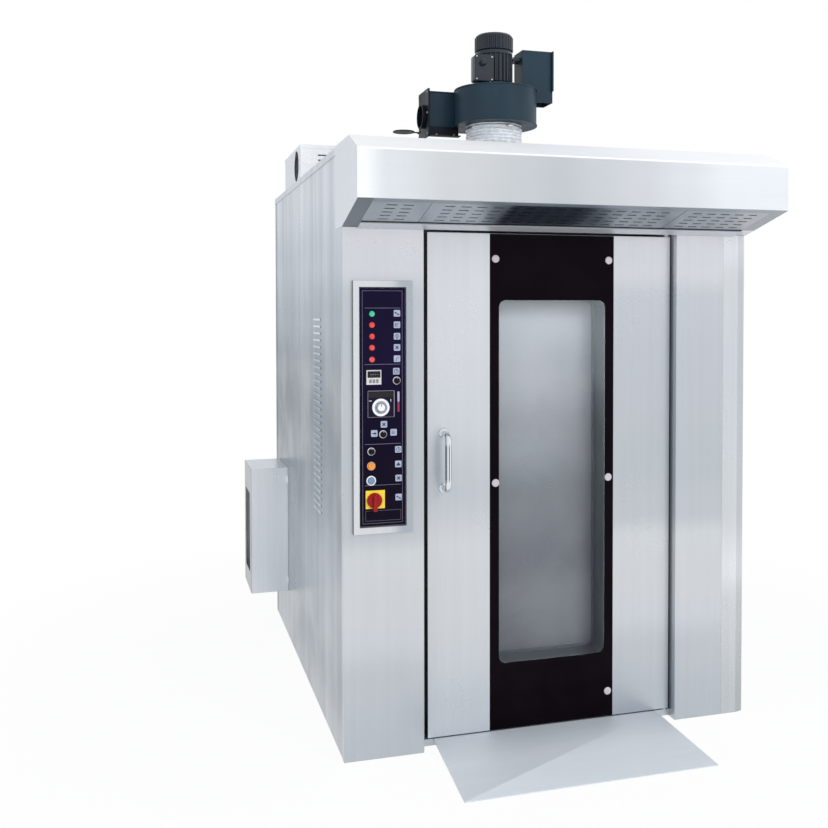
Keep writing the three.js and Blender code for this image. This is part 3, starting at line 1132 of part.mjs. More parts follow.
function exhaustImpeller() {
  const z = [CASING_Z + CASING_WALL + RUN_CLEAR, casingTop - CASING_WALL - RUN_CLEAR];
  const backPlate = rod('z', IMPELLER_R, [z[1] - 3, z[1]], [0, 0, 0], 24);
  const shaft = rod('z', SHAFT_R, [z[0] + 30, casingTop + 40], [0, 0, 0], 20);
  const ring = cut(rod('z', IMPELLER_R, [z[0], z[0] + 3], [0, 0, 0], 24),
    rod('z', IMPELLER_R * 0.74, [z[0] - 1, z[0] + 4], [0, 0, 0], 24));
  const blades = range(IMPELLER_BLADES).map((i) => {
    const flat = new THREE.BoxGeometry(IMPELLER_R * 0.22, 3, z[1] - z[0] - 1);
    flat.rotateZ(radians(-40)).translate(IMPELLER_R * 0.87, 0, (z[0] + z[1]) / 2);
    return solid(flat.rotateZ(Math.PI * 2 * i / IMPELLER_BLADES));
  });
  return join(backPlate, shaft, ring, blades);
}
mesh('exhaust_impeller', exhaustImpeller(), GALVANISED, blower);

// Outline of a finned body: square-edged fins around a circle
function finnedOutline(r, depth, fins) {
  return range(fins * 4).map((i) => {
    const tip = i % 4 === 1 || i % 4 === 2;
    const angle = Math.PI * 2 * (Math.floor(i / 4) + [0.1, 0.18, 0.62, 0.7][i % 4]) / fins;
    const radius = tip ? r : r - depth;
    return [radius * Math.cos(angle), radius * Math.sin(angle)];
  });
}
function blowerMotor() {
  const foot = rod('z', MOTOR_R + 12, [casingTop + SEAT, casingTop + 10], [0, 0, 0], 24);
  const body = push('z', finnedOutline(MOTOR_R, 5, MOTOR_FINS), casingTop + 9, casingTop + MOTOR_H);
  const cowlFoot = casingTop + MOTOR_H + 2;
  const neck = rod('z', MOTOR_R - 8, [casingTop + MOTOR_H - 1, cowlFoot + 1], [0, 0, 0], 24);
  const cowl = push('z', finnedOutline(MOTOR_R + 2, 3, MOTOR_FINS + 4), cowlFoot, cowlFoot + COWL_H - 8);
  const crown = turn('z', [
    [0, cowlFoot + COWL_H - 9], [MOTOR_R - 1, cowlFoot + COWL_H - 9], [MOTOR_R - 7, cowlFoot + COWL_H],
    [MOTOR_R * 0.3, cowlFoot + COWL_H], [MOTOR_R * 0.3, cowlFoot + COWL_H - 4], [0, cowlFoot + COWL_H - 4],
  ], [0, 0, 0], 24);
  const bore = rod('z', SHAFT_R + SEAT, [casingTop, casingTop + 40 + SEAT], [0, 0, 0], 20);
  return cut(join(foot, body, neck, cowl, crown), bore);
}
mesh('blower_motor', blowerMotor(), BLACK_PAINT, blower);

const TERMINAL_X = [-108, -34];
const TERMINAL_Y = [-96, -46];
const TERMINAL_Z = [14, 112];
function terminalBox() {
  const z = TERMINAL_Z.map((height) => casingTop + height);
  const box = push('y', roundedOutline(TERMINAL_X, z, 8), TERMINAL_Y[0], TERMINAL_Y[1], 3);
  const cover = push('y', roundedOutline(grow(TERMINAL_X, 2), grow(z, 2), 9), TERMINAL_Y[0] - 8,
    TERMINAL_Y[0] + 1, 3);
  const gland = rod('x', 9, [TERMINAL_X[0] - 12, TERMINAL_X[0] + 1], [0, (TERMINAL_Y[0] + TERMINAL_Y[1]) / 2,
    z[0] + 60], 12);
  const finTips = (MOTOR_R + SEAT) / Math.cos(Math.PI / 24); // the bore's flats clear the fins' tips
  const clear = rod('z', finTips, [0, HOOD_TOP], [0, 0, 0], 24);
  const footClear = rod('z', MOTOR_R + 12 + SEAT, [0, casingTop + 10 + SEAT], [0, 0, 0], 24);
  return cut(join(box, cover, gland), clear, footClear);
}
mesh('terminal_box', terminalBox(), BLACK_PAINT, blower);

// Bracket right of the motor: a foot on the casing, two arms to the motor, a box and its end flange
function motorBracket() {
  const foot = casingTop + SEAT;
  const z = [foot, foot + BRACKET_H];
  const y = [-52, 38];
  const bend = SCROLL_R - 22;
  const box = block(BRACKET_X, y, [foot, z[1]]);
  const hollow = block([BRACKET_X[0] + 3, BRACKET_X[1] + 1], grow(y, -3), grow(z, -3));
  const flange = cut(block([BRACKET_X[1] - 5, BRACKET_X[1]], grow(y, 12), z),
    block([BRACKET_X[1] - 6, BRACKET_X[1] + 1], grow(y, -3), grow(z, -3)));
  const arms = [[z[0], z[0] + 12], [z[1] - 38, z[1] - 26]].map((span) => block([0, BRACKET_X[0] + 1],
    [y[0] + 16, y[1] - 16], span));
  const skirt = block([bend, BRACKET_X[1]], grow(y, 0), [casingTop - 44, foot + 1]);
  const motorRoom = rod('z', MOTOR_R + 2 + SEAT, [0, HOOD_TOP], [0, 0, 0], 24);
  const footRoom = rod('z', MOTOR_R + 12 + SEAT, [0, casingTop + 10 + SEAT], [0, 0, 0], 24);
  const casingRoom = push('z', scrollOutline(-SEAT), 0, casingTop + SEAT / 2);
  return cut(join(cut(join(box, arms), hollow), flange, cut(skirt, hollow, block([bend + 3, BRACKET_X[1] - 5],
    grow(y, -3), [0, foot + 2]))), motorRoom, footRoom, casingRoom);
}
mesh('motor_bracket', motorBracket(), BLACK_PAINT, blower);

// Gravity flap at the outlet: it hangs open on a pin below the spigot and swings up to shut it
function outletDamper() {
  const disc = rod('z', DAMPER_R, [-DAMPER_T / 2, DAMPER_T / 2], [-DAMPER_ARM, 0, 0], 28);
  const arm = block([-DAMPER_ARM, 0], [-5, 5], [-DAMPER_T / 2, DAMPER_T / 2]);
  const pin = rod('y', DAMPER_PIN_R, [-DAMPER_PIN, DAMPER_PIN], [0, 0, 0], 12);
  return join(disc, arm, pin);
}
place(mesh('outlet_damper', outletDamper(), BLACK_PAINT), damperX, spigotY, damperZ, blower);

// ---------------------------------------------------------------- loading ramp
function ramp() {
  const back = panFront - SEAT;
  const front = FRONT_Y - RAMP_OUT;
  const x0 = LEFT_X + RAMP_BACK_LEFT;
  const flare = (RAMP_FRONT_W - RAMP_BACK_W) / 2;
  const plan = (z) => [[x0 - flare, front, z[0]], [x0 + RAMP_BACK_W + flare, front, z[0]],
    [x0 + RAMP_BACK_W, back, z[1]], [x0, back, z[1]]];
  const plate = wedge(plan([0, PAN_TOP - RAMP_T]), plan([RAMP_T, PAN_TOP]));
  const toe = front + 60;
  const ribs = [0.04, 0.35, 0.65, 0.96].map((share) => {
    const x = x0 + RAMP_BACK_W * share;
    return wedge(
      [[x - 3, toe, 0], [x + 3, toe, 0], [x + 3, back, 0], [x - 3, back, 0]],
      [[x - 3, toe, 4.5], [x + 3, toe, 4.5], [x + 3, back, PAN_TOP - 2], [x - 3, back, PAN_TOP - 2]],
    );
  });
  return join(plate, ribs);
}
mesh('ramp', ramp(), BRUSHED);

// ---------------------------------------------------------------- control panel
// Its group's origin is the body's front left corner: X runs right, -Y out of the panel
const panel = place(new THREE.Group(), LEFT_X, FRONT_Y, PANEL_LIFT);
const bezelFace = -SEAT - BEZEL_OUT;
const plateFace = -SEAT - PLATE_T;
const innerX = grow(BEZEL_X, -BEZEL_W);
const innerZ = grow(BEZEL_Z, -BEZEL_W);
const bevel = 5;
mesh('control_bezel', cut(
  block(BEZEL_X, [bezelFace, -SEAT], BEZEL_Z),
  wedge(
    [[innerX[0] - bevel, bezelFace, innerZ[0] - bevel], [innerX[1] + bevel, bezelFace, innerZ[0] - bevel],
      [innerX[1], -SEAT, innerZ[0]], [innerX[0], -SEAT, innerZ[0]]],
    [[innerX[0] - bevel, bezelFace, innerZ[1] + bevel], [innerX[1] + bevel, bezelFace, innerZ[1] + bevel],
      [innerX[1], -SEAT, innerZ[1]], [innerX[0], -SEAT, innerZ[1]]],
  ),
), BRIGHT, panel);

const knobPlaces = [TIMER_KNOB_AT, HEAT_KNOB_AT, LIGHT_KNOB_AT, DIAL_AT, SWITCH_AT];
const buttonPlaces = [STEAM_BUTTON_AT, START_BUTTON_AT];
function controlPlate() {
  const plate = block(grow(innerX, -SEAT), [plateFace, -SEAT], grow(innerZ, -SEAT));
  const rings = buttonPlaces.map(([x, z]) => rod('y', BUTTON_R + COLLAR_RING,
    [plateFace - COLLAR_RING, plateFace + 1], [x, 0, z], 16));
  const stems = knobPlaces.map(([x, z]) => rod('y', STEM_R + STEM_PLAY, [plateFace - 1, 1], [x, 0, z], 8));
  const wells = buttonPlaces.map(([x, z]) => rod('y', BUTTON_R + SEAT, [-30, 1], [x, 0, z], 16));
  const lampHoles = LAMP_Z.map((z) => rod('y', LAMP_R + SEAT, [plateFace - 1, 1], [LAMP_X, 0, z], 12));
  return cut(join(plate, rings), stems, wells, lampHoles);
}
mesh('control_plate', controlPlate(), PANEL_VIOLET, panel);

// Lenses on one strip behind the plate, each through its own hole
const lampBack = 6;
const lensProfile = [
  [0, plateFace - 5.5], [LAMP_R * 0.5, plateFace - 5], [LAMP_R * 0.86, plateFace - 3.4],
  [LAMP_R, plateFace - 1.2], [LAMP_R, lampBack - 1], [0, lampBack - 1],
];
mesh('indicator_lamps', join(
  LAMP_Z.map((z) => turn('y', lensProfile, [LAMP_X, 0, z], 12)),
  block(grow([LAMP_X, LAMP_X], LAMP_R + 3), [SEAT, lampBack], grow([LAMP_Z.at(-1), LAMP_Z[0]], LAMP_R + 3)),
), RED, panel);

function timerModule() {
  const face = plateFace - TIMER_OUT;
  const body = block(TIMER_X, [face, plateFace - SEAT], TIMER_Z);
  const midZ = (TIMER_Z[0] + TIMER_Z[1]) / 2;
  const display = block(grow(TIMER_X, -5), [face - 1, face + 2], [midZ + 1, TIMER_Z[1] - 5]);
  const keyPad = block(grow(TIMER_X, -5), [face - 1, face + 0.8], [TIMER_Z[0] + 5, midZ - 3]);
  const keyX = range(3).map((i) => TIMER_X[0] + 15 + 13 * i);
  const keys = keyX.map((x) => block([x - 4, x + 4], [face, face + 1.5], [TIMER_Z[0] + 8, midZ - 8]));
  return join(cut(body, display, keyPad), keys);
}
mesh('timer_module', timerModule(), WHITE_PLASTIC, panel);

function thermostatPlate() {
  const face = plateFace - 5;
  const body = push('y', roundedOutline(THERMOSTAT_X, THERMOSTAT_Z, 3), face, plateFace - SEAT, 3);
  const field = block(grow(THERMOSTAT_X, -4), [face - 1, face + 1.5], grow(THERMOSTAT_Z, -4));
  const stem = rod('y', STEM_R + STEM_PLAY, [face - 1, 0], [DIAL_AT[0], 0, DIAL_AT[1]], 8);
  return cut(body, field, stem);
}
mesh('thermostat_plate', thermostatPlate(), BLACK_PLASTIC, panel);

const stemEnd = STEM_IN;
const knobStem = (from) => rod('y', STEM_R, [from, stemEnd], [0, 0, 0], 8);
function dial() {
  const seat = plateFace - 3.5 - SEAT;
  const face = turn('y', [
    [0, seat - 18], [11, seat - 18], [12, seat - 16], [12.5, seat - 7], [21, seat - 7], [23, seat - 4],
    [DIAL_R - 1, seat - 4], [DIAL_R, seat - 3], [DIAL_R, seat], [0, seat],
  ], [0, 0, 0], 28);
  const pointer = block([-1.6, 1.6], [seat - 19, seat - 17], [0, 10.5]);
  return join(face, pointer, knobStem(seat - 1));
}
place(mesh('thermostat_dial', dial(), WHITE_PLASTIC), DIAL_AT[0], 0, DIAL_AT[1], panel);

// Selector knob: pale skirt, dark cap and a bar grip with its pointer up
function selector(name, [x, z]) {
  const seat = plateFace - SEAT;
  const body = turn('y', [
    [0, seat - 9], [KNOB_R * 0.72, seat - 9], [KNOB_R * 0.76, seat - 8], [KNOB_R * 0.76, seat - 3.5],
    [KNOB_R, seat - 3], [KNOB_R, seat], [0, seat],
  ], [0, 0, 0], 24);
  const grip = block([-3, 3], [seat - 15, seat - 8], [-KNOB_R * 0.68, KNOB_R * 0.68]);
  place(mesh(name, join(body, grip, knobStem(seat - 1)), BLACK_PLASTIC), x, 0, z, panel);
}
selector('timer_selector', TIMER_KNOB_AT);
selector('heat_selector', HEAT_KNOB_AT);
selector('light_selector', LIGHT_KNOB_AT);

function button(name, [x, z], look) {
  const top = plateFace - BUTTON_OUT;
  const body = turn('y', [
    [0, top], [BUTTON_R * 0.8, top], [BUTTON_R, top + 1.6], [BUTTON_R, stemEnd], [0, stemEnd],
  ], [0, 0, 0], 16);
  place(mesh(name, body, look), x, 0, z, panel);
}
button('steam_button', STEAM_BUTTON_AT, ORANGE);
button('start_button', START_BUTTON_AT, STEEL_BLUE);

const switchFace = plateFace - SEAT - 4;
mesh('switch_plate', cut(
  block(SWITCH_X, [switchFace, plateFace - SEAT], SWITCH_Z),
  rod('y', STEM_R + STEM_PLAY, [-30, 1], [SWITCH_AT[0], 0, SWITCH_AT[1]], 8),
), YELLOW, panel);

function mainSwitchHandle() {
  const seat = switchFace - SEAT;
  const disc = turn('y', [
    [0, seat - 10], [SWITCH_R - 3, seat - 10], [SWITCH_R, seat - 7], [SWITCH_R, seat], [0, seat],
  ], [0, 0, 0], 24);
  const grip = push('y', roundedOutline([-7.5, 7.5], [-SWITCH_GRIP, SWITCH_R - 3], 5),
    seat - 24, seat - 6, 3);
  return join(disc, grip, knobStem(seat - 1));
}
place(mesh('main_switch_handle', mainSwitchHandle(), RED), SWITCH_AT[0], 0, SWITCH_AT[1], panel);

// Steel back box behind the panel with two rows of switchgear on rails
const ENCLOSURE_DEPTH = [45, 140];
function electricalEnclosure() {
  const x = [innerX[0] - 20, innerX[1] + 30];
  const z = grow(innerZ, 8);
  const tray = block(x, ENCLOSURE_DEPTH, z);
  const room = block(grow(x, -SHEET), [ENCLOSURE_DEPTH[0] - 1, ENCLOSURE_DEPTH[1] - SHEET], grow(z, -SHEET));
  const rails = [0.3, 0.7].map((share) => z[0] + (z[1] - z[0]) * share);
  const gear = rails.flatMap((height) => [
    block(grow(x, -10), [ENCLOSURE_DEPTH[1] - 10, ENCLOSURE_DEPTH[1] - 1], grow([height, height], 18)),
    ...range(3).map((i) => block([x[0] + 22 + 66 * i, x[0] + 68 + 66 * i],
      [ENCLOSURE_DEPTH[1] - 70, ENCLOSURE_DEPTH[1] - 9], grow([height, height], 40))),
  ]);
  const brackets = [z[0] + 60, z[1] - 60].map((height) => block([0, x[0] + 1],
    [ENCLOSURE_DEPTH[1] - 4, ENCLOSURE_DEPTH[1]], grow([height, height], 12)));
  const wall = SHEET + SEAT * 2 + SHEET;
  return cut(join(cut(tray, room), gear, brackets), block([-50, wall], [-50, BODY_D], [-BODY_H, BODY_H]));
}
mesh('electrical_enclosure', electricalEnclosure(), GALVANISED, panel);

export default oven;
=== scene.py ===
"""Rotating rack oven dressed for the studio: brushed steel, glass, enamelled blower and control panel.

Metres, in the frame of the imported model: +Z up, the door faces -Y, the origin lies on the floor
under the turntable's axis.
"""

import math

import bpy
import numpy as np
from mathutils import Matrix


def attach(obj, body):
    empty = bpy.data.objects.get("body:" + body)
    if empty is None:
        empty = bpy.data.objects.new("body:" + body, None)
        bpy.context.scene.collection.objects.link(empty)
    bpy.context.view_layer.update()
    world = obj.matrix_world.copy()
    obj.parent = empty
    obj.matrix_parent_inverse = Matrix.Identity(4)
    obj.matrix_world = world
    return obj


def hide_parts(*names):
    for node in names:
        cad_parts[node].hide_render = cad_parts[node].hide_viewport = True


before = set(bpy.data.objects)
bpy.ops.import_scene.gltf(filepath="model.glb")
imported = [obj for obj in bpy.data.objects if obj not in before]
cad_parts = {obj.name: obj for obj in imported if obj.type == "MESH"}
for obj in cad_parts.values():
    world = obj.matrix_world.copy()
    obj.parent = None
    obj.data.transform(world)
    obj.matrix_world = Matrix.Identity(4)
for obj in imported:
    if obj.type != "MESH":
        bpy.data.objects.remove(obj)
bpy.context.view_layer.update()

# ---- places on the oven
DOOR_X, DOOR_Y = 0.0035, -0.71  # middle of the door's face
HANDLE_X = -0.45
HANDLE_Z = (1.006, 1.218)
HANDLE_OUT = 0.068
HANDLE_BEND, HANDLE_R = 0.03, 0.0125
GLASS_HALF = 0.2645
GLASS_Z = (0.04, 1.988)
WINDOW_HALF = 0.2265
WINDOW_Z = (0.3, 1.73)
WINDOW_CORNER = 0.028
CAP_AT = ((-0.238, 1.891), (0.245, 1.891), (-0.238, 1.015), (0.245, 1.015), (0.245, 0.141))
PANEL_X = -0.85  # the panel's places are given from the body's left side
PLATE_Y = -0.7533
HOOD_HALF, HOOD_TOP = 0.852, 2.313
FAN_X, FAN_Y = -0.252, -0.73
CASING_Z = (2.398, 2.535)
FLANGE_Z = 2.4515
SPIGOT_AT = (0, -0.6123, 2.4446)
SCROLL_R, SCROLL_GROWTH = 0.15, 0.022
DUCT_END, DUCT_BACK, DUCT_FRONT = -0.243, 0.172, 0.0634  # from the fan's axis
COLLAR_R, COLLAR_RIBS, COLLAR_RIB, COLLAR_THICK = 0.1015, 6.5, 0.0062, 0.0035
DIAL_OUT, ESCUTCHEON_OUT = 0.0038, 0.0046  # faces of the thermostat and switch plates


# ---- skins worked out on grids
def outward(points, faces):
    """Turns a closed skin round if its volume, the sum of a . (b x c) / 6 over its faces, is negative."""
    volume = 0.0
    for block in faces:
        corner = points[block]
        a, b, c = corner[:, :1], corner[:, 1:-1], corner[:, 2:]
        volume += float(np.sum(a * np.cross(b, c)))
    return points, [block[:, ::-1] for block in faces] if volume < 0 else faces


def skin(rings, ring_closed=False):
    """Closed skin over a stack of loops rings[i, j]: quads between loop i and i + 1, and a flat cap
    at each end, or quads from the last loop back to the first where ring_closed is true."""
    rings = np.asarray(rings, float)
    n, m, _ = rings.shape
    i, j = np.meshgrid(np.arange(n if ring_closed else n - 1), np.arange(m), indexing="ij")
    nxt, up = (j + 1) % m, (i + 1) % n
    faces = [np.stack([i * m + j, i * m + nxt, up * m + nxt, up * m + j], -1).reshape(-1, 4)]
    if not ring_closed:
        faces += [np.arange(m)[None, ::-1], (n - 1) * m + np.arange(m)[None, :]]
    return outward(rings.reshape(-1, 3), faces)


def laid(u, v, w, axis):
    """Stacks coordinates so that w runs along the axis: Z up, X right, or Y out of the oven's front."""
    order = {"z": (u, v, w), "x": (w, u, v), "y": (u, -w, v)}[axis]
    return np.stack(np.broadcast_arrays(*order), -1)


def stacked(loops, at=(0, 0, 0), axis="y", ring_closed=False):
    """Skin over plane loops (u, v, w), each at its depth w along the axis."""
    rings = [laid(u, v, np.full_like(u, w), axis) for u, v, w in loops]
    return skin(np.stack(rings) + np.array(at), ring_closed)


def round_steps(count):
    return np.arange(count) * 2 * math.pi / count


def lathe(profile, at, axis="z", sides=48, ring_closed=False):
    """Turned body: each (r, h) of the profile becomes the circle (r cos t, r sin t) at height h."""
    r, h = np.asarray(profile, float).T
    t = round_steps(sides)
    rings = laid(r[:, None] * np.cos(t), r[:, None] * np.sin(t), h[:, None], axis)
    return skin(rings + np.asarray(at, float), ring_closed)


def ring(inner, outer, low, high, at, axis="z", sides=48, edge=0.0006):
    """Flat ring with softened edges: the lathe of a rectangle whose corners are cut by the edge."""
    profile = [(inner, low), (outer - edge, low), (outer, low + edge), (outer, high - edge),
               (outer - edge, high), (inner, high)]
    return lathe(profile, at, axis, sides, ring_closed=True)


def rounded(a, b, corner, steps=6):
    """Loop of a rectangle of half sizes a, b: four quarter circles of the corner's radius."""
    t = (np.arange(steps) / (steps - 1) * math.pi / 2)[None, :] + (np.arange(4) * math.pi / 2)[:, None]
    sx, sy = np.array([1, -1, -1, 1])[:, None], np.array([1, 1, -1, -1])[:, None]
    x = sx * (a - corner) + corner * np.cos(t)
    y = sy * (b - corner) + corner * np.sin(t)
    return x.ravel(), y.ravel()


def soft_box(x, y, z, corner=0.003, edge=0.001, axis="z", steps=6):
    """Box over three spans: rounded-rectangle loops along the axis, drawn in by a quarter circle of
    the edge's radius at both ends."""
    spans = {"z": (x, y, z), "x": (y, z, x), "y": (x, z, (-y[1], -y[0]))}[axis]
    (u0, u1), (v0, v1), (w0, w1) = spans
    t = np.linspace(0, math.pi / 2, 4)
    inset = edge * np.concatenate([1 - np.sin(t), 1 - np.sin(t[::-1])])
    w = np.concatenate([w0 + edge * (1 - np.cos(t)), w1 - edge * (1 - np.cos(t[::-1]))])
    lu, lv = rounded((u1 - u0) / 2, (v1 - v0) / 2, corner, steps)
    su = 1 - inset[:, None] / ((u1 - u0) / 2)
    sv = 1 - inset[:, None] / ((v1 - v0) / 2)
    return skin(laid((u0 + u1) / 2 + su * lu, (v0 + v1) / 2 + sv * lv, w[:, None], axis))


def slab(outline, low, high, axis="z"):
    """Plate with the given outline between two heights along the axis."""
    u, v = np.asarray(outline, float).T
    return skin(laid(u[None, :], v[None, :], np.array([[low], [high]]), axis))


def tube(path, radius, binormal, sides=20):
    """Rod along a plane path: circles in the plane of the binormal and of tangent x binormal."""
    path = np.asarray(path, float)
    tangent = np.gradient(path, axis=0)
    tangent /= np.linalg.norm(tangent, axis=1, keepdims=True)
    b = np.asarray(binormal, float)
    side = np.cross(tangent, b)
    t = round_steps(sides)
    return skin(path[:, None] + radius * (side[:, None] * np.cos(t)[:, None] + b * np.sin(t)[:, None]))


def piece(name, parts, material, body, replaces=(), angle=34):
    """Joins closed skins into one object, smooth but for edges sharper than the angle."""
    parts = parts if isinstance(parts, list) else [parts]
    points, faces, start = [], [], 0
    for part_points, part_faces in parts:
        points.append(part_points)
        for block in part_faces:
            faces += (block + start).tolist()
        start += len(part_points)
    mesh = bpy.data.meshes.new(name)
    mesh.from_pydata(np.concatenate(points), [], faces)
    mesh.validate()
    mesh.shade_smooth()
    mesh.set_sharp_from_angle(angle=math.radians(angle))
    mesh.materials.append(material)
    made = bpy.data.objects.new(name, mesh)
    bpy.context.scene.collection.objects.link(made)
    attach(made, body)
    if replaces:
        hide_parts(*replaces)


# ---- node building
def tint(r, g, b):
    """Linear colour of a value read as it looks on a screen, 0 to 255."""
    def line(c):
        c /= 255
        return c / 12.92 if c <= 0.04045 else ((c + 0.055) / 1.055) ** 2.4
    return (line(r), line(g), line(b), 1.0)


def node(tree, kind, inputs=None, **settings):
    made = tree.nodes.new("ShaderNode" + kind)
    for key, value in settings.items():
        setattr(made, key, value)
    for key, value in (inputs or {}).items():
        if isinstance(value, bpy.types.NodeSocket):
            tree.links.new(value, made.inputs[key])
        else:
            made.inputs[key].default_value = value
    return made


def sums(tree, operation, a, b=0.0):
    return node(tree, "Math", {0: a, 1: b, 2: 0.0}, operation=operation).outputs[0]


def times(tree, a, b):
    return sums(tree, "MULTIPLY", a, b)


def span(tree, value, low, high, to_low=0.0, to_high=1.0, smooth=False):
    """Value carried from the first span to the second and held at its ends."""
    ends = {"Value": value, "From Min": low, "From Max": high, "To Min": to_low, "To Max": to_high}
    ease = "SMOOTHSTEP" if smooth else "LINEAR"
    return node(tree, "MapRange", ends, interpolation_type=ease).outputs["Result"]


def blend(tree, share, a, b, mode="MIX"):
    made = node(tree, "Mix", {0: share, 6: a, 7: b}, data_type="RGBA", blend_type=mode)
    return made.outputs[2]


def ramp(tree, share, stops, ease="LINEAR"):
    """Colour ramp over (place, colour) stops."""
    made = node(tree, "ValToRGB", {"Fac": share})
    band = made.color_ramp
    band.interpolation = ease
    while len(band.elements) < len(stops):
        band.elements.new(0.5)
    for element, (place, colour) in zip(band.elements, stops):
        element.position = place
        element.color = colour
    return made.outputs["Color"]


def noise(tree, vector, scale, detail, rough=0.5, **more):
    return node(tree, "TexNoise", {"Vector": vector, "Scale": scale, "Detail": detail, "Roughness": rough,
                                   **more}).outputs["Fac"]


def stretched(tree, vector, scale):
    return node(tree, "VectorMath", {0: vector, 1: scale}, operation="MULTIPLY").outputs[0]


def places(tree):
    """Object coordinates, whole and by axis."""
    vector = node(tree, "TexCoord").outputs["Object"]
    parts = node(tree, "SeparateXYZ", {"Vector": vector}).outputs
    return vector, parts["X"], parts["Y"], parts["Z"]


def new_group(name, inputs, outputs):
    """Shader node group with named sockets; gives the tree, its input sockets and its output node."""
    tree = bpy.data.node_groups.new(name, "ShaderNodeTree")
    for label, kind, value in inputs:
        socket = tree.interface.new_socket(label, in_out="INPUT", socket_type="NodeSocket" + kind)
        if value is not None:
            socket.default_value = value
    for label in outputs:
        tree.interface.new_socket(label, in_out="OUTPUT", socket_type="NodeSocketFloat")
    return tree, tree.nodes.new("NodeGroupInput").outputs, tree.nodes.new("NodeGroupOutput").inputs


def grain_group():
    """Brushed grain: fine lines scaled by Across, mixed with soft streaks scaled by Broad; about 0.5."""
    tree, given, out = new_group(
        "brushed_grain",
        [("Vector", "Vector", None), ("Across", "Vector", (900.0, 900.0, 7.0)),
         ("Broad", "Vector", (38.0, 38.0, 0.7)), ("Share", "Float", 0.4)], ["Tone", "Height"])
    fine = noise(tree, stretched(tree, given["Vector"], given["Across"]), 1.0, 3.0, 0.62)
    broad = noise(tree, stretched(tree, given["Vector"], given["Broad"]), 1.0, 4.0, 0.55)
    tone = node(tree, "Mix", {0: given["Share"], 2: fine, 3: broad}, data_type="FLOAT").outputs[0]
    tree.links.new(tone, out["Tone"])
    tree.links.new(fine, out["Height"])
    return tree


def smudge_group():
    """Cloudy film of handling and dust: soft patches between 0 and 1."""
    tree, given, out = new_group("smudges", [("Vector", "Vector", None), ("Scale", "Float", 3.0)], ["Film"])
    cloud = noise(tree, given["Vector"], given["Scale"], 5.0, 0.6, Distortion=0.4)
    tree.links.new(span(tree, cloud, 0.34, 0.7, smooth=True), out["Film"])
    return tree


def peel_group():
    """Fine orange-peel of paint or moulded plastic: a height, and specks of wear."""
    tree, given, out = new_group("paint_skin", [("Vector", "Vector", None), ("Size", "Float", 420.0)],
                                 ["Height", "Wear"])
    peel = noise(tree, given["Vector"], given["Size"], 2.0)
    patch = noise(tree, given["Vector"], 11.0, 6.0, 0.7)
    tree.links.new(peel, out["Height"])
    tree.links.new(span(tree, patch, 0.56, 0.74, smooth=True), out["Wear"])
    return tree


GRAIN, SMUDGE, PEEL = grain_group(), smudge_group(), peel_group()


def use(tree, group, **inputs):
    return node(tree, "Group", inputs, node_tree=group).outputs


def film_on(tree, vector, scale):
    return use(tree, SMUDGE, Vector=vector, Scale=scale)["Film"]


def brushed(tree, tone, grain, low, high):
    """Tone multiplied by the grain, from low in its dark lines to high in its pale ones."""
    return blend(tree, 1.0, tone, span(tree, grain["Tone"], 0.25, 0.75, low, high), "MULTIPLY")


def blank(name, **fixed):
    """Material whose plain shader sockets are set here; gives it, its tree and its object coordinates."""
    made = bpy.data.materials.new(name)
    made.use_nodes = True
    shader = made.node_tree.nodes["Principled BSDF"]
    for label, value in fixed.items():
        shader.inputs[label.replace("_", " ").title().replace("Ior", "IOR")].default_value = value
    return made, made.node_tree, places(made.node_tree)


def finished(made, colour, rough=None, height=None, strength=0.1, distance=0.0004):
    """Joins the colour, the roughness, as span() takes it, and the bump's height to the shader."""
    tree = made.node_tree
    shader = tree.nodes["Principled BSDF"]
    tree.links.new(colour, shader.inputs["Base Color"])
    if rough is not None:
        tree.links.new(span(tree, *rough), shader.inputs["Roughness"])
    if height is not None:
        relief = node(tree, "Bump", {"Height": height, "Strength": strength, "Distance": distance})
        tree.links.new(relief.outputs["Normal"], shader.inputs["Normal"])
    return made


def evenly(*colours):
    """Ramp stops at even distances."""
    return [(k / (len(colours) - 1), tint(*c)) for k, c in enumerate(colours)]


def over(low, high, *stops):
    """Ramp stops from (place, r, g, b) rows over the span from low to high."""
    return [((place - low) / (high - low), tint(*colour)) for place, *colour in stops]


# ---- brushed steel
def steel(name, along, stops, metal=0.72, rough=(0.27, 0.4), across=(900.0, 900.0, 7.0),
          broad=(38.0, 38.0, 0.7), streak=0.1, share=0.4, low=0.0, high=HOOD_TOP, marks=()):
    """Brushed sheet: its tone runs through the stops along one axis, with grain and broad streaks.
    Each mark is (axis, from, to, gain): past that place the tone is multiplied by the gain."""
    made, tree, (vector, x, y, z) = blank(name, metallic=metal)
    way = {"x": x, "y": y, "z": z}
    tone = ramp(tree, span(tree, way[along], low, high), stops, "EASE")
    grain = use(tree, GRAIN, Vector=vector, Across=across, Broad=broad, Share=share)
    colour = brushed(tree, tone, grain, 1.0 - streak, 1.0 + streak)
    for axis, start, end, gain in marks:
        colour = blend(tree, 1.0, colour, span(tree, way[axis], start, end, 1.0, gain), "MULTIPLY")
    film = film_on(tree, vector, 2.2)
    return finished(made, colour, (film, 0.0, 1.0, *rough), grain["Height"], 0.02)


def up_body(*stops):
    return over(0.0, HOOD_TOP, *stops)


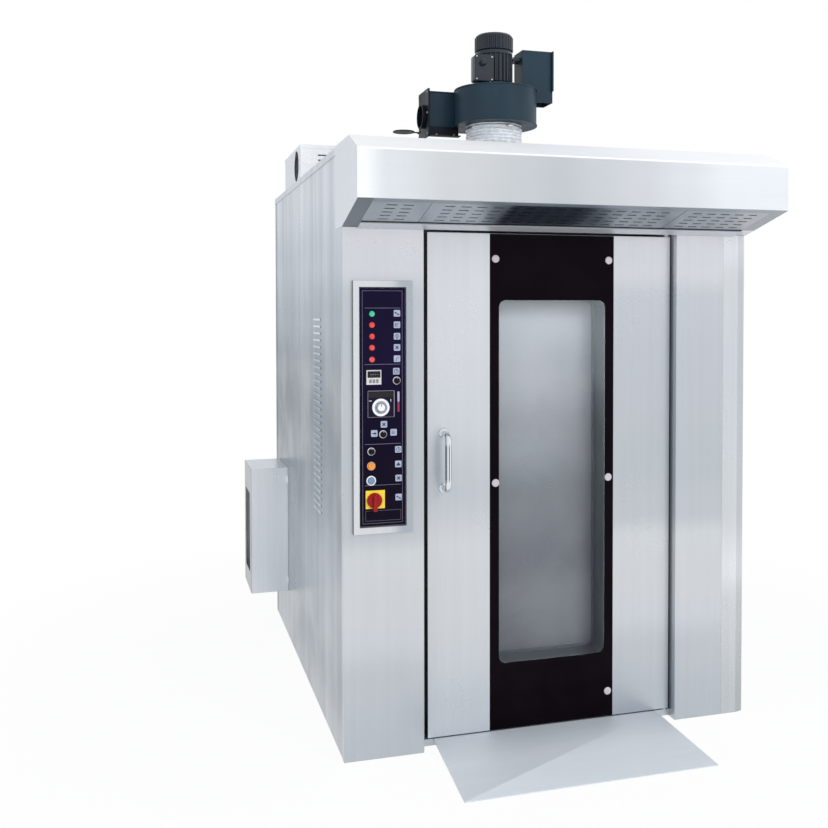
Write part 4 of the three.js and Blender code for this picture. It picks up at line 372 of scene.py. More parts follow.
# Painted reflections: the tones up the front sheets, the left door skin and the corner trim are the room's
# reflection bands, at the same heights on each
FRONT = steel("brushed_front", "z", up_body(
    (0.02, 184, 190, 197), (0.3, 191, 196, 201), (0.46, 204, 208, 213), (0.53, 206, 209, 213),
    (0.76, 206, 210, 214), (0.86, 190, 195, 200), (1.05, 186, 192, 197), (1.5, 189, 194, 200),
    (1.73, 192, 197, 203), (1.86, 208, 211, 216), (1.97, 213, 215, 220)), streak=0.05, share=0.6)
# Painted shade: the mark darkens the door skin's left edge face, seen in the shadowed gap beside the control
# post
DOOR_LEFT = steel("brushed_door_left", "z", up_body(
    (0.05, 218, 222, 226), (0.24, 200, 205, 210), (0.5, 206, 209, 213), (0.76, 207, 210, 214),
    (0.98, 192, 197, 203), (1.28, 205, 209, 215), (1.6, 210, 213, 218), (1.95, 211, 214, 219)),
    streak=0.05, share=0.6, marks=(("x", -0.513, -0.5138, 0.1),))
# Painted shade and light: the side sheets are dark at mid-height and bright at the top, as light falls on
# them; the back and roof share these tones
side_stops = up_body(
    (0.02, 172, 178, 185), (0.22, 158, 166, 174), (0.58, 170, 177, 185), (0.93, 136, 146, 156),
    (1.25, 120, 131, 142), (1.45, 140, 149, 158), (1.65, 177, 185, 193), (1.91, 206, 212, 218),
    (2.2, 228, 231, 235))
# Painted highlight on the louvre blades, which are paler than the side sheet; the rear fold is darker than
# the side sheet
SIDE = steel("brushed_side", "z", side_stops, streak=0.26, share=0.72, broad=(60.0, 9.0, 0.35),
             marks=(("x", -0.8488, -0.8498, 2.0), ("y", 1.17, 1.186, 0.5)))
BACK = steel("brushed_back", "z", side_stops, streak=0.2, share=0.6, broad=(16.0, 16.0, 0.45),
             marks=(("z", 2.2835, 2.28, 0.5),))
# Painted shade: the trim's angled strip past x = 0.8155 is darker, as it turns away from the light
TRIM = steel("satin_trim", "z", up_body(
    (0.05, 190, 195, 199), (0.45, 206, 209, 213), (0.62, 224, 227, 231), (0.86, 206, 210, 214),
    (1.5, 203, 208, 214), (1.8, 206, 210, 214), (1.96, 222, 225, 230)), rough=(0.2, 0.32),
    marks=(("x", 0.8145, 0.8155, 0.84),))


def hood_steel():
    """Hood sheet: painted reflections make its tone bright at the left end, dip left of the middle and rise
    to the right; the facet above the front is paler, a painted light, and duller, so that the blower is
    only a soft painted reflection in it."""
    made, tree, (vector, x, y, z) = blank("brushed_hood", metallic=0.4)
    across = span(tree, x, -HOOD_HALF, HOOD_HALF)
    face = ramp(tree, across, over(
        -HOOD_HALF, HOOD_HALF, (-0.84, 240, 243, 246), (-0.74, 213, 217, 221), (-0.5, 197, 200, 203),
        (-0.24, 186, 190, 194), (-0.1, 181, 185, 190), (0.05, 188, 192, 196), (0.22, 195, 198, 202),
        (0.4, 204, 208, 212), (0.6, 217, 221, 225), (0.84, 218, 222, 226)), "EASE")
    facet = ramp(tree, across, evenly((255, 255, 255), (250, 251, 252), (245, 247, 250), (252, 253, 254),
                                      (255, 255, 255)), "EASE")
    # The shell's own sides are left out; the facet starts at 2.25, above a painted highlight along the fold
    inside = span(tree, sums(tree, "ABSOLUTE", x), HOOD_HALF - 0.0006, HOOD_HALF - 0.0012)
    upper = times(tree, span(tree, z, 2.2495, 2.2515), inside)
    fold = times(tree, span(tree, z, 2.2425, 2.247), sums(tree, "SUBTRACT", inside, upper))
    fall = sums(tree, "ADD", z, times(tree, y, 75 / 285))  # constant over the sloping underside
    under = times(tree, span(tree, fall, 1.8046, 1.8038), inside)
    # Painted light and shade on the sloping underside: pale along the strip at its rear edge, darker forward
    # of it; darker still at the left end, past x = -0.7936
    underside_light_and_shade = blend(tree, span(tree, y, -0.812, -0.806), tint(150, 157, 165), tint(214, 217, 222))
    below = blend(tree, span(tree, x, -0.793, -0.7936), underside_light_and_shade, tint(112, 119, 127))
    grain = use(tree, GRAIN, Vector=vector, Across=(7.0, 700.0, 700.0), Broad=(2.2, 12.0, 12.0), Share=0.4)
    tone = blend(tree, fold, blend(tree, upper, face, facet), tint(250, 252, 253))
    colour = brushed(tree, blend(tree, under, tone, below), grain, 0.965, 1.035)
    gloss = span(tree, grain["Tone"], 0.2, 0.8, 0.28, 0.38)
    return finished(made, colour, (upper, 0.0, 1.0, gloss, 0.85), grain["Height"], 0.12)


HOOD = hood_steel()
# Painted shade: the shell's left side and its front edge, seen through the gap beside the control post, are
# darkened
SHELL = steel("door_shell_sheet", "z", evenly((172, 178, 184), (178, 184, 190)), rough=(0.35, 0.5),
              streak=0.12, marks=(("x", -0.5098, -0.5104, 0.06), ("y", -0.709, -0.7096, 0.2)))
GALVANISED = steel("galvanised_sheet", "z", evenly((172, 178, 184), (178, 184, 190)), rough=(0.35, 0.5),
                   across=(120.0, 120.0, 120.0), broad=(30.0, 30.0, 30.0), streak=0.12)
# Painted shade: the ramp is darker towards the door, at its back end
RAMP = steel("worn_ramp_painted_shade", "y", evenly((220, 226, 232), (226, 230, 235), (206, 212, 219)), low=-1.16,
             high=-0.71, across=(8.0, 800.0, 800.0), broad=(3.0, 22.0, 22.0), streak=0.05, metal=0.15,
             rough=(0.5, 0.62))
BRIGHT = steel("bright_bezel", "z", evenly((208, 212, 216), (212, 216, 220)), streak=0.05,
               rough=(0.16, 0.26), metal=0.85)
# Painted shade: the bezel's outer left side face and its outermost edge are darkened to a quarter
BEZEL = steel("panel_bezel", "x", evenly((214, 218, 222), (212, 216, 220), (206, 210, 214), (172, 179, 187)),
              streak=0.06, rough=(0.16, 0.26), metal=0.85, low=-0.785, high=-0.62,
              marks=(("x", -0.812, -0.8128, 0.25),))
# Painted shade: the burner box's left face, past x = -1.0345, is darkened to 0.42
COVER = steel("brushed_cover", "z", up_body((0.2, 236, 240, 244), (0.9, 244, 247, 250)), streak=0.07,
              metal=0.5, marks=(("x", -1.0345, -1.0355, 0.42),))
LINING = steel("chamber_lining", "z", up_body((0.0, 150, 153, 156), (2.0, 176, 180, 184)), streak=0.1)


def filter_steel():
    """Pressed filter sheet: pale at both ends, with the blower's dark reflection left of the middle."""
    made, tree, (vector, x, y, z) = blank("filter_sheet", metallic=0.6)
    tone = ramp(tree, span(tree, x, -0.85, 0.85), over(
        -0.85, 0.85, (-0.8, 176, 182, 189), (-0.38, 182, 189, 196), (-0.31, 142, 150, 160),
        (-0.25, 54, 61, 73), (0.0, 62, 70, 82), (0.1, 120, 129, 139), (0.22, 160, 168, 176),
        (0.8, 174, 178, 183)), "EASE")
    grain = use(tree, GRAIN, Vector=vector, Across=(12.0, 600.0, 600.0), Broad=(5.0, 30.0, 30.0), Share=0.4)
    return finished(made, brushed(tree, tone, grain, 0.9, 1.1), (grain["Tone"], 0.2, 0.8, 0.3, 0.46),
                    grain["Height"], 0.1)


FILTER = filter_steel()


# ---- paint, plastic and print
def paint(name, colour, rough=0.42, rubbed_and_sheen=None, metal=0.0, size=420.0, tone=0.12, bumpy=0.16, coat=0.0,
          shine=0.5):
    """Paint or moulded plastic: cloudy tone, fine orange peel, and rubbed patches of another colour, which
    on the motor are pale partly as a painted sheen.
    """
    made, tree, (vector, *_) = blank(name, metallic=metal, coat_weight=coat, coat_roughness=0.12,
                                     specular_ior_level=shine)
    peel = use(tree, PEEL, Vector=vector, Size=size)
    film = film_on(tree, vector, 5.0)
    base = tint(*colour)
    dark = tuple(c * (1 - tone) for c in base[:3]) + (1.0,)
    light = tuple(min(1.0, c * (1 + tone)) for c in base[:3]) + (1.0,)
    rubbed = times(tree, peel["Wear"], 0.35)
    shade = blend(tree, rubbed, blend(tree, film, dark, light), tint(*(rubbed_and_sheen or colour)))
    return finished(made, shade, (film, 0.0, 1.0, rough - 0.06, rough + 0.08), peel["Height"], bumpy, 0.0003)


ENAMEL = paint("slate_enamel", (34, 53, 65), 0.4, (46, 66, 78), bumpy=0.1, shine=0.22)
ENAMEL_DARK = paint("black_enamel", (14, 20, 28), 0.42, (28, 36, 44), bumpy=0.1, shine=0.18)
# The motor's rubbed colour is real wear and partly painted sheen, standing in for the highlights on its fins
MOTOR_BLACK = paint("motor_enamel", (26, 35, 45), 0.26, (62, 76, 88), bumpy=0.12, coat=0.3, shine=0.35)
CAP = paint("cap_satin", (200, 192, 198), 0.34, (180, 172, 178), metal=0.2)
ORANGE_RING = paint("orange_ring", (246, 212, 172), 0.34, (236, 176, 116), tone=0.05)
MACHINE_BLUE = paint("machine_blue", (47, 93, 128), 0.42, (80, 110, 130))
DARK_STEEL = paint("dark_mill_steel", (92, 96, 102), 0.5, (120, 112, 104), metal=0.55, size=200.0)
CAST = paint("cast_iron", (70, 72, 76), 0.66, (96, 84, 74), metal=0.3, size=90.0, bumpy=0.6)
RUBBER = paint("black_rubber", (12, 12, 15), 0.72, (22, 22, 26), size=260.0, bumpy=0.3, shine=0.1)
PALE = paint("pale_plastic", (206, 204, 200), 0.42, (190, 188, 184))
WHITE = paint("white_plastic", (236, 238, 242), 0.34, (220, 222, 226), tone=0.04)
BLACK = paint("black_plastic", (16, 15, 20), 0.34, (30, 29, 34), size=600.0, shine=0.2)
GREY_SCALE = paint("dial_scale", (126, 128, 134), 0.4, (150, 152, 156), size=700.0)
ORANGE = paint("orange_cap", (240, 140, 34), 0.28, (246, 160, 70), coat=0.4, tone=0.06)
SILVER_BLUE = paint("silver_blue_cap", (112, 146, 176), 0.26, (150, 176, 198), metal=0.4, coat=0.4)
YELLOW = paint("yellow_plate", (250, 214, 58), 0.4, (238, 200, 60), tone=0.05)
RED = paint("red_handle", (152, 6, 10), 0.36, (170, 20, 20), coat=0.05, tone=0.12, shine=0.3)
PRINT = paint("printed_grey_violet", (122, 116, 142), 0.4, (110, 104, 130), tone=0.1)
ICON = paint("printed_icon_pale", (164, 175, 196), 0.4, (154, 165, 186), tone=0.08)
INK = paint("printed_ink", (50, 52, 78), 0.4, (60, 62, 88), tone=0.1, shine=0.2)
RED_PRINT = paint("printed_red", (146, 36, 72), 0.4, (130, 42, 72), tone=0.1)
FRAME_GREY = paint("frame_grey_violet", (134, 122, 138), 0.4, (150, 138, 146), tone=0.1)
FIELD = paint("dial_field", (26, 20, 44), 0.3, (34, 28, 52), tone=0.1, shine=0.1)
SCREEN = paint("dark_screen", (20, 20, 24), 0.16, (26, 26, 30), coat=0.2, bumpy=0.02, shine=0.2)
BOLT = paint("zinc_bolt", (206, 210, 214), 0.3, (180, 184, 188), metal=0.7)


def film_violet():
    """Printed film of the control plate: near-black violet, a touch redder towards the foot."""
    made, tree, (vector, x, y, z) = blank("panel_film", specular_ior_level=0.04)
    violets = evenly((17, 12, 24), (17, 12, 32), (22, 17, 44), (20, 15, 40))
    tone = ramp(tree, span(tree, z, 0.88, 1.78), violets)
    film = film_on(tree, vector, 9.0)
    colour = blend(tree, times(tree, film, 0.12), tone, tint(40, 34, 62))
    peel = use(tree, PEEL, Vector=vector, Size=900.0)
    return finished(made, colour, (film, 0.0, 1.0, 0.28, 0.38), peel["Height"], 0.06, 0.0002)


def lenses():
    """Pilot lamps in one strip: the top lens green, the others red, with a pale cloudy film."""
    made, tree, (vector, x, y, z) = blank("lamp_lens", roughness=0.3, coat_weight=0.15,
                                          emission_strength=0.12, specular_ior_level=0.25)
    red, green = tint(216, 44, 44), tint(30, 188, 140)
    colour = ramp(tree, span(tree, z, 1.6, 1.72), [(0.0, red), (0.44, red), (0.47, green), (1.0, green)])
    film = film_on(tree, vector, 60.0)
    colour = blend(tree, times(tree, film, 0.12), colour, tint(255, 240, 230))
    tree.links.new(colour, tree.nodes["Principled BSDF"].inputs["Emission Color"])
    peel = use(tree, PEEL, Vector=vector, Size=500.0)
    return finished(made, colour, None, peel["Height"], 0.05, 0.0002)


# ---- glass and what lies behind it
def border_glass():
    """Black enamel fired on the back of the glass, with a violet cast and a few dust marks."""
    made, tree, (vector, x, y, z) = blank("black_border_glass", coat_weight=0.02, coat_roughness=0.05,
                                          specular_ior_level=0.03)
    tone = ramp(tree, span(tree, z, 0.0, 2.0), evenly((10, 4, 11), (9, 4, 10), (10, 4, 11)))
    film = film_on(tree, vector, 6.0)
    colour = blend(tree, times(tree, film, 0.06), tone, tint(46, 40, 50))
    return finished(made, colour, (film, 0.0, 1.0, 0.1, 0.18))


def clear_glass():
    """Clear toughened pane: thin greenish tint, faint film in the roughness."""
    made, tree, (vector, *_) = blank("clear_glass", transmission_weight=1.0, ior=1.1)
    film = film_on(tree, vector, 4.0)
    return finished(made, blend(tree, film, tint(250, 252, 252), tint(244, 248, 248)),
                    (film, 0.0, 1.0, 0.0, 0.03))


BEHIND_Z = (0.28, 1.75)  # heights over which the pane and its reveal change tone


def inner_pane():
    """Inner pane with a painted reflection of a pale room: brightest at the top left, slate towards the
    foot.
    """
    made, tree, (vector, x, y, z) = blank("inner_pane", coat_weight=0.1, coat_roughness=0.08,
                                          specular_ior_level=0.15)
    height = span(tree, z, *BEHIND_Z)

    def column(*greys):
        return ramp(tree, height, over(*BEHIND_Z, *((k, v - 1, v, v + 7) for k, v in greys)), "EASE")

    left = column((0.3, 113), (0.66, 116), (0.93, 133), (1.19, 159), (1.45, 178), (1.7, 197))
    right = column((0.3, 118), (0.66, 112), (0.93, 122), (1.19, 142), (1.45, 167), (1.7, 192))
    tone = blend(tree, span(tree, x, -0.22, 0.21, smooth=True), left, right)
    # Painted light: the pane's sides are lifted by up to 5 % against the reveal's shade
    rim = span(tree, sums(tree, "ABSOLUTE", x), 0.1, 0.22, 1.0, 1.05, smooth=True)
    tone = blend(tree, 1.0, tone, rim, "MULTIPLY")
    film = film_on(tree, vector, 3.0)
    tone = blend(tree, times(tree, film, 0.08), tone, tint(220, 224, 228))
    return finished(made, tone, (film, 0.0, 1.0, 0.16, 0.26))


def reveal_steel():
    """Window reveal in shade: pale grey at the top, slate towards the foot."""
    made, tree, (vector, x, y, z) = blank("window_reveal_steel", metallic=0.5)
    tone = ramp(tree, span(tree, z, *BEHIND_Z), over(
        *BEHIND_Z, (0.3, 104, 108, 116), (0.6, 100, 105, 112), (0.93, 112, 117, 123),
        (1.19, 120, 125, 131), (1.32, 132, 137, 143), (1.45, 166, 171, 176), (1.7, 182, 187, 191)), "EASE")
    grain = use(tree, GRAIN, Vector=vector, Share=0.3)
    return finished(made, brushed(tree, tone, grain, 0.92, 1.08), (grain["Tone"], 0.2, 0.8, 0.34, 0.5),
                    grain["Height"], 0.1)


# ---- fabric, wool and polish
def foil():
    """Aluminised fabric of the flexible collar: bright, crinkled, dull in the folds."""
    made, tree, (vector, *_) = blank("aluminised_fabric", metallic=0.4)
    crease = node(tree, "TexVoronoi", {"Vector": stretched(tree, vector, (60.0, 60.0, 26.0)), "Scale": 1.0},
                  feature="DISTANCE_TO_EDGE").outputs["Distance"]
    cloud = noise(tree, vector, 55.0, 5.0)
    tone = blend(tree, span(tree, cloud, 0.35, 0.68), tint(222, 226, 231), tint(250, 252, 254))
    return finished(made, tone, (cloud, 0.3, 0.7, 0.3, 0.5),
                    sums(tree, "ADD", span(tree, crease, 0.0, 0.25), cloud), 0.35, 0.0012)


def wool():
    """Mineral wool board: straw coloured fibres, darker in the hollows."""
    made, tree, (vector, *_) = blank("mineral_wool", sheen_weight=0.3)
    fibre = noise(tree, stretched(tree, vector, (60.0, 60.0, 260.0)), 1.0, 6.0, 0.75)
    return finished(made, ramp(tree, fibre, [(0.3, tint(120, 108, 70)), (0.7, tint(196, 182, 130))]),
                    (fibre, 0.3, 0.7, 0.85, 1.0), fibre, 0.8, 0.003)


def chrome():
    """Polished bow: painted reflections of the room, in dark and bright bands, run along the grip, over a
    mirror-like base.
    """
    made, tree, (vector, x, y, z) = blank("polished_handle", metallic=0.9)
    bands = ramp(tree, span(tree, x, HANDLE_X - HANDLE_R, HANDLE_X + HANDLE_R), over(
        0.0, 1.0, (0.0, 70, 80, 90), (0.14, 150, 160, 168), (0.3, 244, 247, 250), (0.42, 150, 160, 170),
        (0.5, 66, 76, 88), (0.58, 196, 204, 212), (0.74, 250, 252, 253), (0.9, 120, 130, 140),
        (1.0, 60, 70, 80)))
    near = span(tree, z, HANDLE_Z[0] + 0.03, HANDLE_Z[0] + 0.045)
    far = span(tree, z, HANDLE_Z[1] - 0.03, HANDLE_Z[1] - 0.045)
    grip = times(tree, near, far)
    film = film_on(tree, vector, 14.0)
    return finished(made, blend(tree, grip, tint(224, 228, 232), bands), (film, 0.0, 1.0, 0.06, 0.16))


FILM, LENS, BORDER, CLEAR, PANE = film_violet(), lenses(), border_glass(), clear_glass(), inner_pane()
REVEAL, FOIL, WOOL, CHROME = reveal_steel(), foil(), wool(), chrome()

DRESS = {
    FRONT: "control_post right_post door_skin_right floor_pan",
    DOOR_LEFT: "door_skin_left",
    SIDE: "left_side_panel right_side_panel",
    BACK: "rear_panel roof_panel",
    TRIM: "corner_trim",
    HOOD: "hood_shell",
    FILTER: "hood_filters",
    SHELL: "door_shell",
    GALVANISED: "door_lintel circulation_fan exhaust_impeller electrical_enclosure",
    COVER: "burner_box roof_box",
    LINING: "chamber_liner supply_duct turntable_disc",
    RAMP: "ramp",
    BEZEL: "control_bezel",
    BRIGHT: "door_handle",
    REVEAL: "window_reveal",
    PANE: "inner_glass",
    BORDER: "outer_glass",
    RUBBER: "door_gasket",
    WOOL: "insulation_jacket plenum_deck",
    DARK_STEEL: "base_frame heat_exchanger flue_header turntable_spindle drive_chain drive_sprocket",
    CAST: "steam_generator bearing_housing",
    MACHINE_BLUE: "turntable_gearmotor",
    ENAMEL: "blower_casing terminal_box motor_bracket",
    ENAMEL_DARK: "burner circulation_motor outlet_damper",
    MOTOR_BLACK: "blower_motor",
    FOIL: "flex_collar",
    FILM: "control_plate",
    LENS: "indicator_lamps",
    PALE: "timer_module",
    BLACK: "thermostat_plate timer_selector heat_selector light_selector",
    WHITE: "thermostat_dial",
    ORANGE: "steam_button",
    SILVER_BLUE: "start_button",
    YELLOW: "switch_plate",
    RED: "main_switch_handle",
}
for material, names in DRESS.items():
    for name in names.split():
        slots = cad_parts[name].data.materials
        slots.clear()
        slots.append(material)

# Folded edges of the sheet-metal parts catch the light on a small radius
for name in ("control_post right_post corner_trim door_skin_left door_skin_right hood_shell burner_box "
             "roof_box roof_panel ramp control_bezel").split():
    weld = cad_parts[name].modifiers.new("weld", "WELD")
    weld.merge_threshold = 0.00002
    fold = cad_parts[name].modifiers.new("fold", "BEVEL")
    fold.width, fold.segments, fold.limit_method, fold.angle_limit = 0.0009, 2, "ANGLE", math.radians(24)
    fold.harden_normals = True


# ---- door furniture
def grab_handle():
    """Bow of round rod: out from the door, round a quarter circle, up, and back, on two turned roses."""
    t = np.linspace(0, math.pi / 2, 12)
    (low, high), bend, straight = HANDLE_Z, HANDLE_BEND, -HANDLE_OUT + HANDLE_BEND
    yz = np.concatenate([
        np.array([[0.004, low], [straight - 0.004, low]]),
        np.stack([straight - bend * np.sin(t), low + bend - bend * np.cos(t)], 1),
        np.stack([straight - bend * np.cos(t), high - bend + bend * np.sin(t)], 1),
        np.array([[straight, high], [0.004, high]])])
    path = np.stack([np.full(len(yz), HANDLE_X), DOOR_Y + yz[:, 0], yz[:, 1]], 1)
    rose = [(0.019, 0.0003), (0.019, 0.0028), (0.0176, 0.0044), (0.0145, 0.005), (0.0145, 0.0072),
            (0.012, 0.0072)]
    roses = [lathe(rose, (HANDLE_X, DOOR_Y, z), "y", 40) for z in HANDLE_Z]
    return [tube(path, HANDLE_R, (1, 0, 0), 24)] + roses


def glass_cap(x, z):
    """Domed screw cap: the lathe of a low crown with a rolled rim and a small flat centre."""
    crown = [(0.0152, 0.0003), (0.0154, 0.0026), (0.0144, 0.0043), (0.011, 0.0056), (0.0058, 0.0062),
             (0.0045, 0.006), (0.001, 0.006)]
    return lathe(crown, (x, DOOR_Y, z), "y", 40)


def door_loop(half, z, corner):
    """Rounded loop round the door's middle line over the heights z."""
    u, v = rounded(half, (z[1] - z[0]) / 2, corner, 12)
    return DOOR_X + u, (z[0] + z[1]) / 2 + v


def glass_border():
    """Black enamel frame of the outer pane: a rounded outer loop, joined to the window's loop, with
    a depth of the glass; front and back loops close the ring."""
    edge = door_loop(GLASS_HALF - 0.0006, GLASS_Z, 0.002)
    window = door_loop(WINDOW_HALF, WINDOW_Z, WINDOW_CORNER)
    depth = 0.0056
    loops = [(*edge, 0.0), (*edge, -depth), (*window, -depth), (*window, 0.0)]
    return stacked(loops, (0, DOOR_Y, 0), "y", True)


def clear_pane():
    """Clear part of the outer pane: a rounded plate set in the border."""
    low, high = WINDOW_Z
    outline = np.stack(door_loop(WINDOW_HALF - 0.0002, (low + 0.0002, high - 0.0002), WINDOW_CORNER), 1)
    return slab(outline, -DOOR_Y - 0.0052, -DOOR_Y - 0.0004, "y")


def pane_bead():
    """Bead round the inner pane: a square ring along the window's loop."""
    low, high = WINDOW_Z
    loops = [(*door_loop(WINDOW_HALF - inset, (low + inset, high - inset), WINDOW_CORNER - inset), w)
             for inset, w in ((0.0003, -0.106), (0.0003, -0.1), (0.0085, -0.1), (0.0085, -0.106))]
    return stacked(loops, (0, DOOR_Y, 0), "y", True)


piece("grab_handle", grab_handle(), CHROME, "door", ["door_handle"])
piece("glass_caps", [glass_cap(*at) for at in CAP_AT], CAP, "door")
piece("glass_border", glass_border(), BORDER, "door", ["outer_glass"])
piece("glass_clear_pane", clear_pane(), CLEAR, "door")
piece("pane_bead", pane_bead(), REVEAL, "door")


# ---- hood underside
def shadow_gap_strip():
    """Painted shadow: a black strip standing in for the shadow gap at the filters' rear edge; a plate
    between two lines of the sloping underside, which runs from (y, z) = (-1.035, 2.075) to (-0.75, 2.0)."""
    low, high = np.array([-1.035, 2.075]), np.array([-0.75, 2.0])
    along = (high - low) / np.linalg.norm(high - low)
    out = np.array([along[1], -along[0]])
    corners = [low + along * s + out * d for s, d in (
        (0.229, 0.0003), (0.2356, 0.0003), (0.2356, 0.0016), (0.229, 0.0016))]
    return slab(corners, -0.792, 0.792, "x")


# Painted shadow: the black strip stands in for the shadow gap at the filters' rear edge
piece("shadow_gap_strip", shadow_gap_strip(), RUBBER, "oven_body")


# ---- exhaust blower
def fan_at(z=0.0):
    return (FAN_X, FAN_Y, z)


def scroll_loop(offset):
    """Outline of the scroll: radius growing evenly from 150 to 172 mm over 295 degrees from the
    tongue, then the outlet duct to the left; every point is moved out along its edge normals."""
    t = np.radians(np.linspace(155, 450, 84))
    r = SCROLL_R + SCROLL_GROWTH * (t - t[0]) / (t[-1] - t[0])
    arc = np.stack([r * np.cos(t), r * np.sin(t)], 1)
    duct = np.array([(-0.12, DUCT_BACK), (DUCT_END, DUCT_BACK), (DUCT_END, DUCT_FRONT), (-0.19, DUCT_FRONT)])
    loop = np.concatenate([arc, duct])
    edge = np.roll(loop, -1, 0) - loop
    normal = np.stack([edge[:, 1], -edge[:, 0]], 1)
    normal /= np.linalg.norm(normal, axis=1, keepdims=True)
    mean = normal + np.roll(normal, 1, 0)
    mean /= np.maximum(np.sum(mean * normal, 1, keepdims=True), 0.5)
    return (loop + offset * mean).T


def scroll_casing():
    """Fan scroll: the outline stacked up the casing, with rolled seams that stand out at both ends."""
    low, high = CASING_Z
    seam = [(-0.004, 0.0), (0.0024, 0.0), (0.003, 0.0012), (0.003, 0.0036), (0.0022, 0.0046),
            (0.0, 0.0056)]
    levels = [(out, low + up) for out, up in seam] + [(out, high - up) for out, up in seam[::-1]]
    return stacked([(*scroll_loop(out), z) for out, z in levels], fan_at(), "z")


def outlet_flange():
    """Square flange with a round throat: the rounded outline and the bore's circle, joined on both faces,
    and the spigot turned on it; below it a foot with a lip."""
    u, v = rounded(0.0704, 0.0915, 0.004, 12)
    t = np.arctan2(v, u)
    plate = (-0.6128 + u, FLANGE_Z + v)
    throat = (SPIGOT_AT[1] + 0.042 * np.cos(t), SPIGOT_AT[2] + 0.042 * np.sin(t))
    front, back = -0.5012, -0.495
    return [stacked([(*plate, back), (*plate, front), (*throat, front), (*throat, back)], axis="x",
                    ring_closed=True),
            ring(0.0422, 0.045, -0.516, -0.5, SPIGOT_AT, "x", 56),
            ring(0.0446, 0.0472, -0.5158, -0.5128, SPIGOT_AT, "x", 56),
            soft_box((-0.496, -0.376), (-0.67, -0.667), (2.36, 2.4), 0.0008, 0.0005),
            soft_box((-0.496, -0.376), (-0.7007, -0.667), (2.36, 2.364), 0.001, 0.0006)]


def bolt_head(at, axis="z", radius=0.0048, height=0.0034):
    """Hexagon bolt head on a washer: two lathes, six sides on twenty-four."""
    washer = lathe([(radius * 1.5, 0), (radius * 1.5, 0.0009), (radius * 1.3, 0.0011)], at, axis, 24)
    head = lathe([(radius, 0.0009), (radius, height), (radius * 0.8, height + 0.0006)], at, axis, 6)
    return [washer, head]


def blower_bolts():
    """Bolt heads on the flange, on the foot's lip and on the casing's top."""
    bolts = []
    for y, z in ((-0.674, 2.372), (-0.674, 2.53), (-0.55, 2.372), (-0.55, 2.53), (-0.674, 2.451)):
        bolts += bolt_head((-0.5012, y, z), "x", 0.0044, -0.003)
    for x in (-0.47, -0.4):
        bolts += bolt_head((x, -0.686, 2.364))
    for x, y in ((0.128, -0.075), (-0.118, 0.075), (0.02, 0.142), (-0.06, -0.128)):
        bolts += bolt_head((FAN_X + x, FAN_Y + y, CASING_Z[1]))
    return bolts


def finned(radius, depth, fins, low, high, edge=0.003):
    """Finned barrel: each loop has radius R - depth * s(theta), where s is a softened square wave of
    the fins; the loops draw in at both ends."""
    t = round_steps(fins * 12)
    r = radius - depth * np.clip(0.5 + 1.6 * np.cos(fins * t), 0, 1)
    return stacked([(k * r * np.cos(t), k * r * np.sin(t), z) for k, z in (
        (0.93, low), (1.0, low + edge), (1.0, high - edge), (0.93, high))], fan_at(), "z")


def fan_motor():
    """Foot flange, finned barrel between two end bells, and a ribbed cowl with a dished crown."""
    top = CASING_Z[1]
    turned = [lathe(profile, fan_at(top), "z", 64) for profile in (
        [(0.08, 0.0003), (0.084, 0.002), (0.084, 0.008), (0.08, 0.01), (0.06, 0.01)],
        [(0.066, 0.009), (0.0705, 0.011), (0.0705, 0.023), (0.066, 0.026)],
        [(0.066, 0.129), (0.0712, 0.131), (0.0712, 0.142), (0.068, 0.147), (0.066, 0.148)],
        [(0.0716, 0.1985), (0.0712, 0.203), (0.066, 0.209), (0.058, 0.2098), (0.056, 0.208),
         (0.022, 0.208), (0.021, 0.2098), (0.004, 0.2098)])]
    foot, lower, upper, crown = turned
    return [foot, finned(0.0722, 0.0058, 26, top + 0.024, top + 0.132), lower, upper,
            finned(0.074, 0.0034, 30, top + 0.147, top + 0.2, 0.0016), crown]


def radial_bar(angle, inner, outer, half):
    """Outline of a bar that points out from the middle at the angle, its corners anticlockwise."""
    along = np.array([math.cos(angle), math.sin(angle)])
    across = np.array([-along[1], along[0]]) * half
    return np.array([along * inner - across, along * outer - across, along * outer + across,
                     along * inner + across])


def cowl_grille():
    """Concentric wires and six spokes over the cowl's dished top."""
    top = CASING_Z[1]
    wires = [ring(r, r + 0.0018, 0.208, 0.2096, fan_at(top), "z", 48) for r in (0.029, 0.037, 0.045, 0.053)]
    spokes = [slab(radial_bar(math.radians(30 + 60 * k), 0.02, 0.057, 0.0012) + (FAN_X, FAN_Y), top + 0.2078,
                   top + 0.2094) for k in range(6)]
    return wires + spokes


def junction_box():
    """Cast terminal box with a flanged lid and a cable gland."""
    x, y, z = (FAN_X - 0.108, FAN_X - 0.034), (FAN_Y - 0.096, FAN_Y - 0.084), (2.549, 2.647)
    body = soft_box(x, (y[1], FAN_Y - 0.046), z, 0.007, 0.002, "y")
    lid = soft_box((x[0] - 0.001, x[1] + 0.001), y, (z[0] - 0.001, z[1] + 0.001), 0.008, 0.0035, "y")
    gland = lathe([(0.013, 0.0), (0.013, 0.008), (0.011, 0.01), (0.011, 0.016), (0.009, 0.018)],
                  (FAN_X - 0.076, y[0], 2.618), "y", 32)
    return [body, lid, gland]


def junction_screws():
    return [lathe([(0.0028, 0), (0.0028, 0.0012), (0.0016, 0.0018)], (FAN_X + x, FAN_Y - 0.096, z), "y", 20)
            for x, z in ((-0.101, 2.556), (-0.041, 2.556), (-0.101, 2.64), (-0.041, 2.64))]


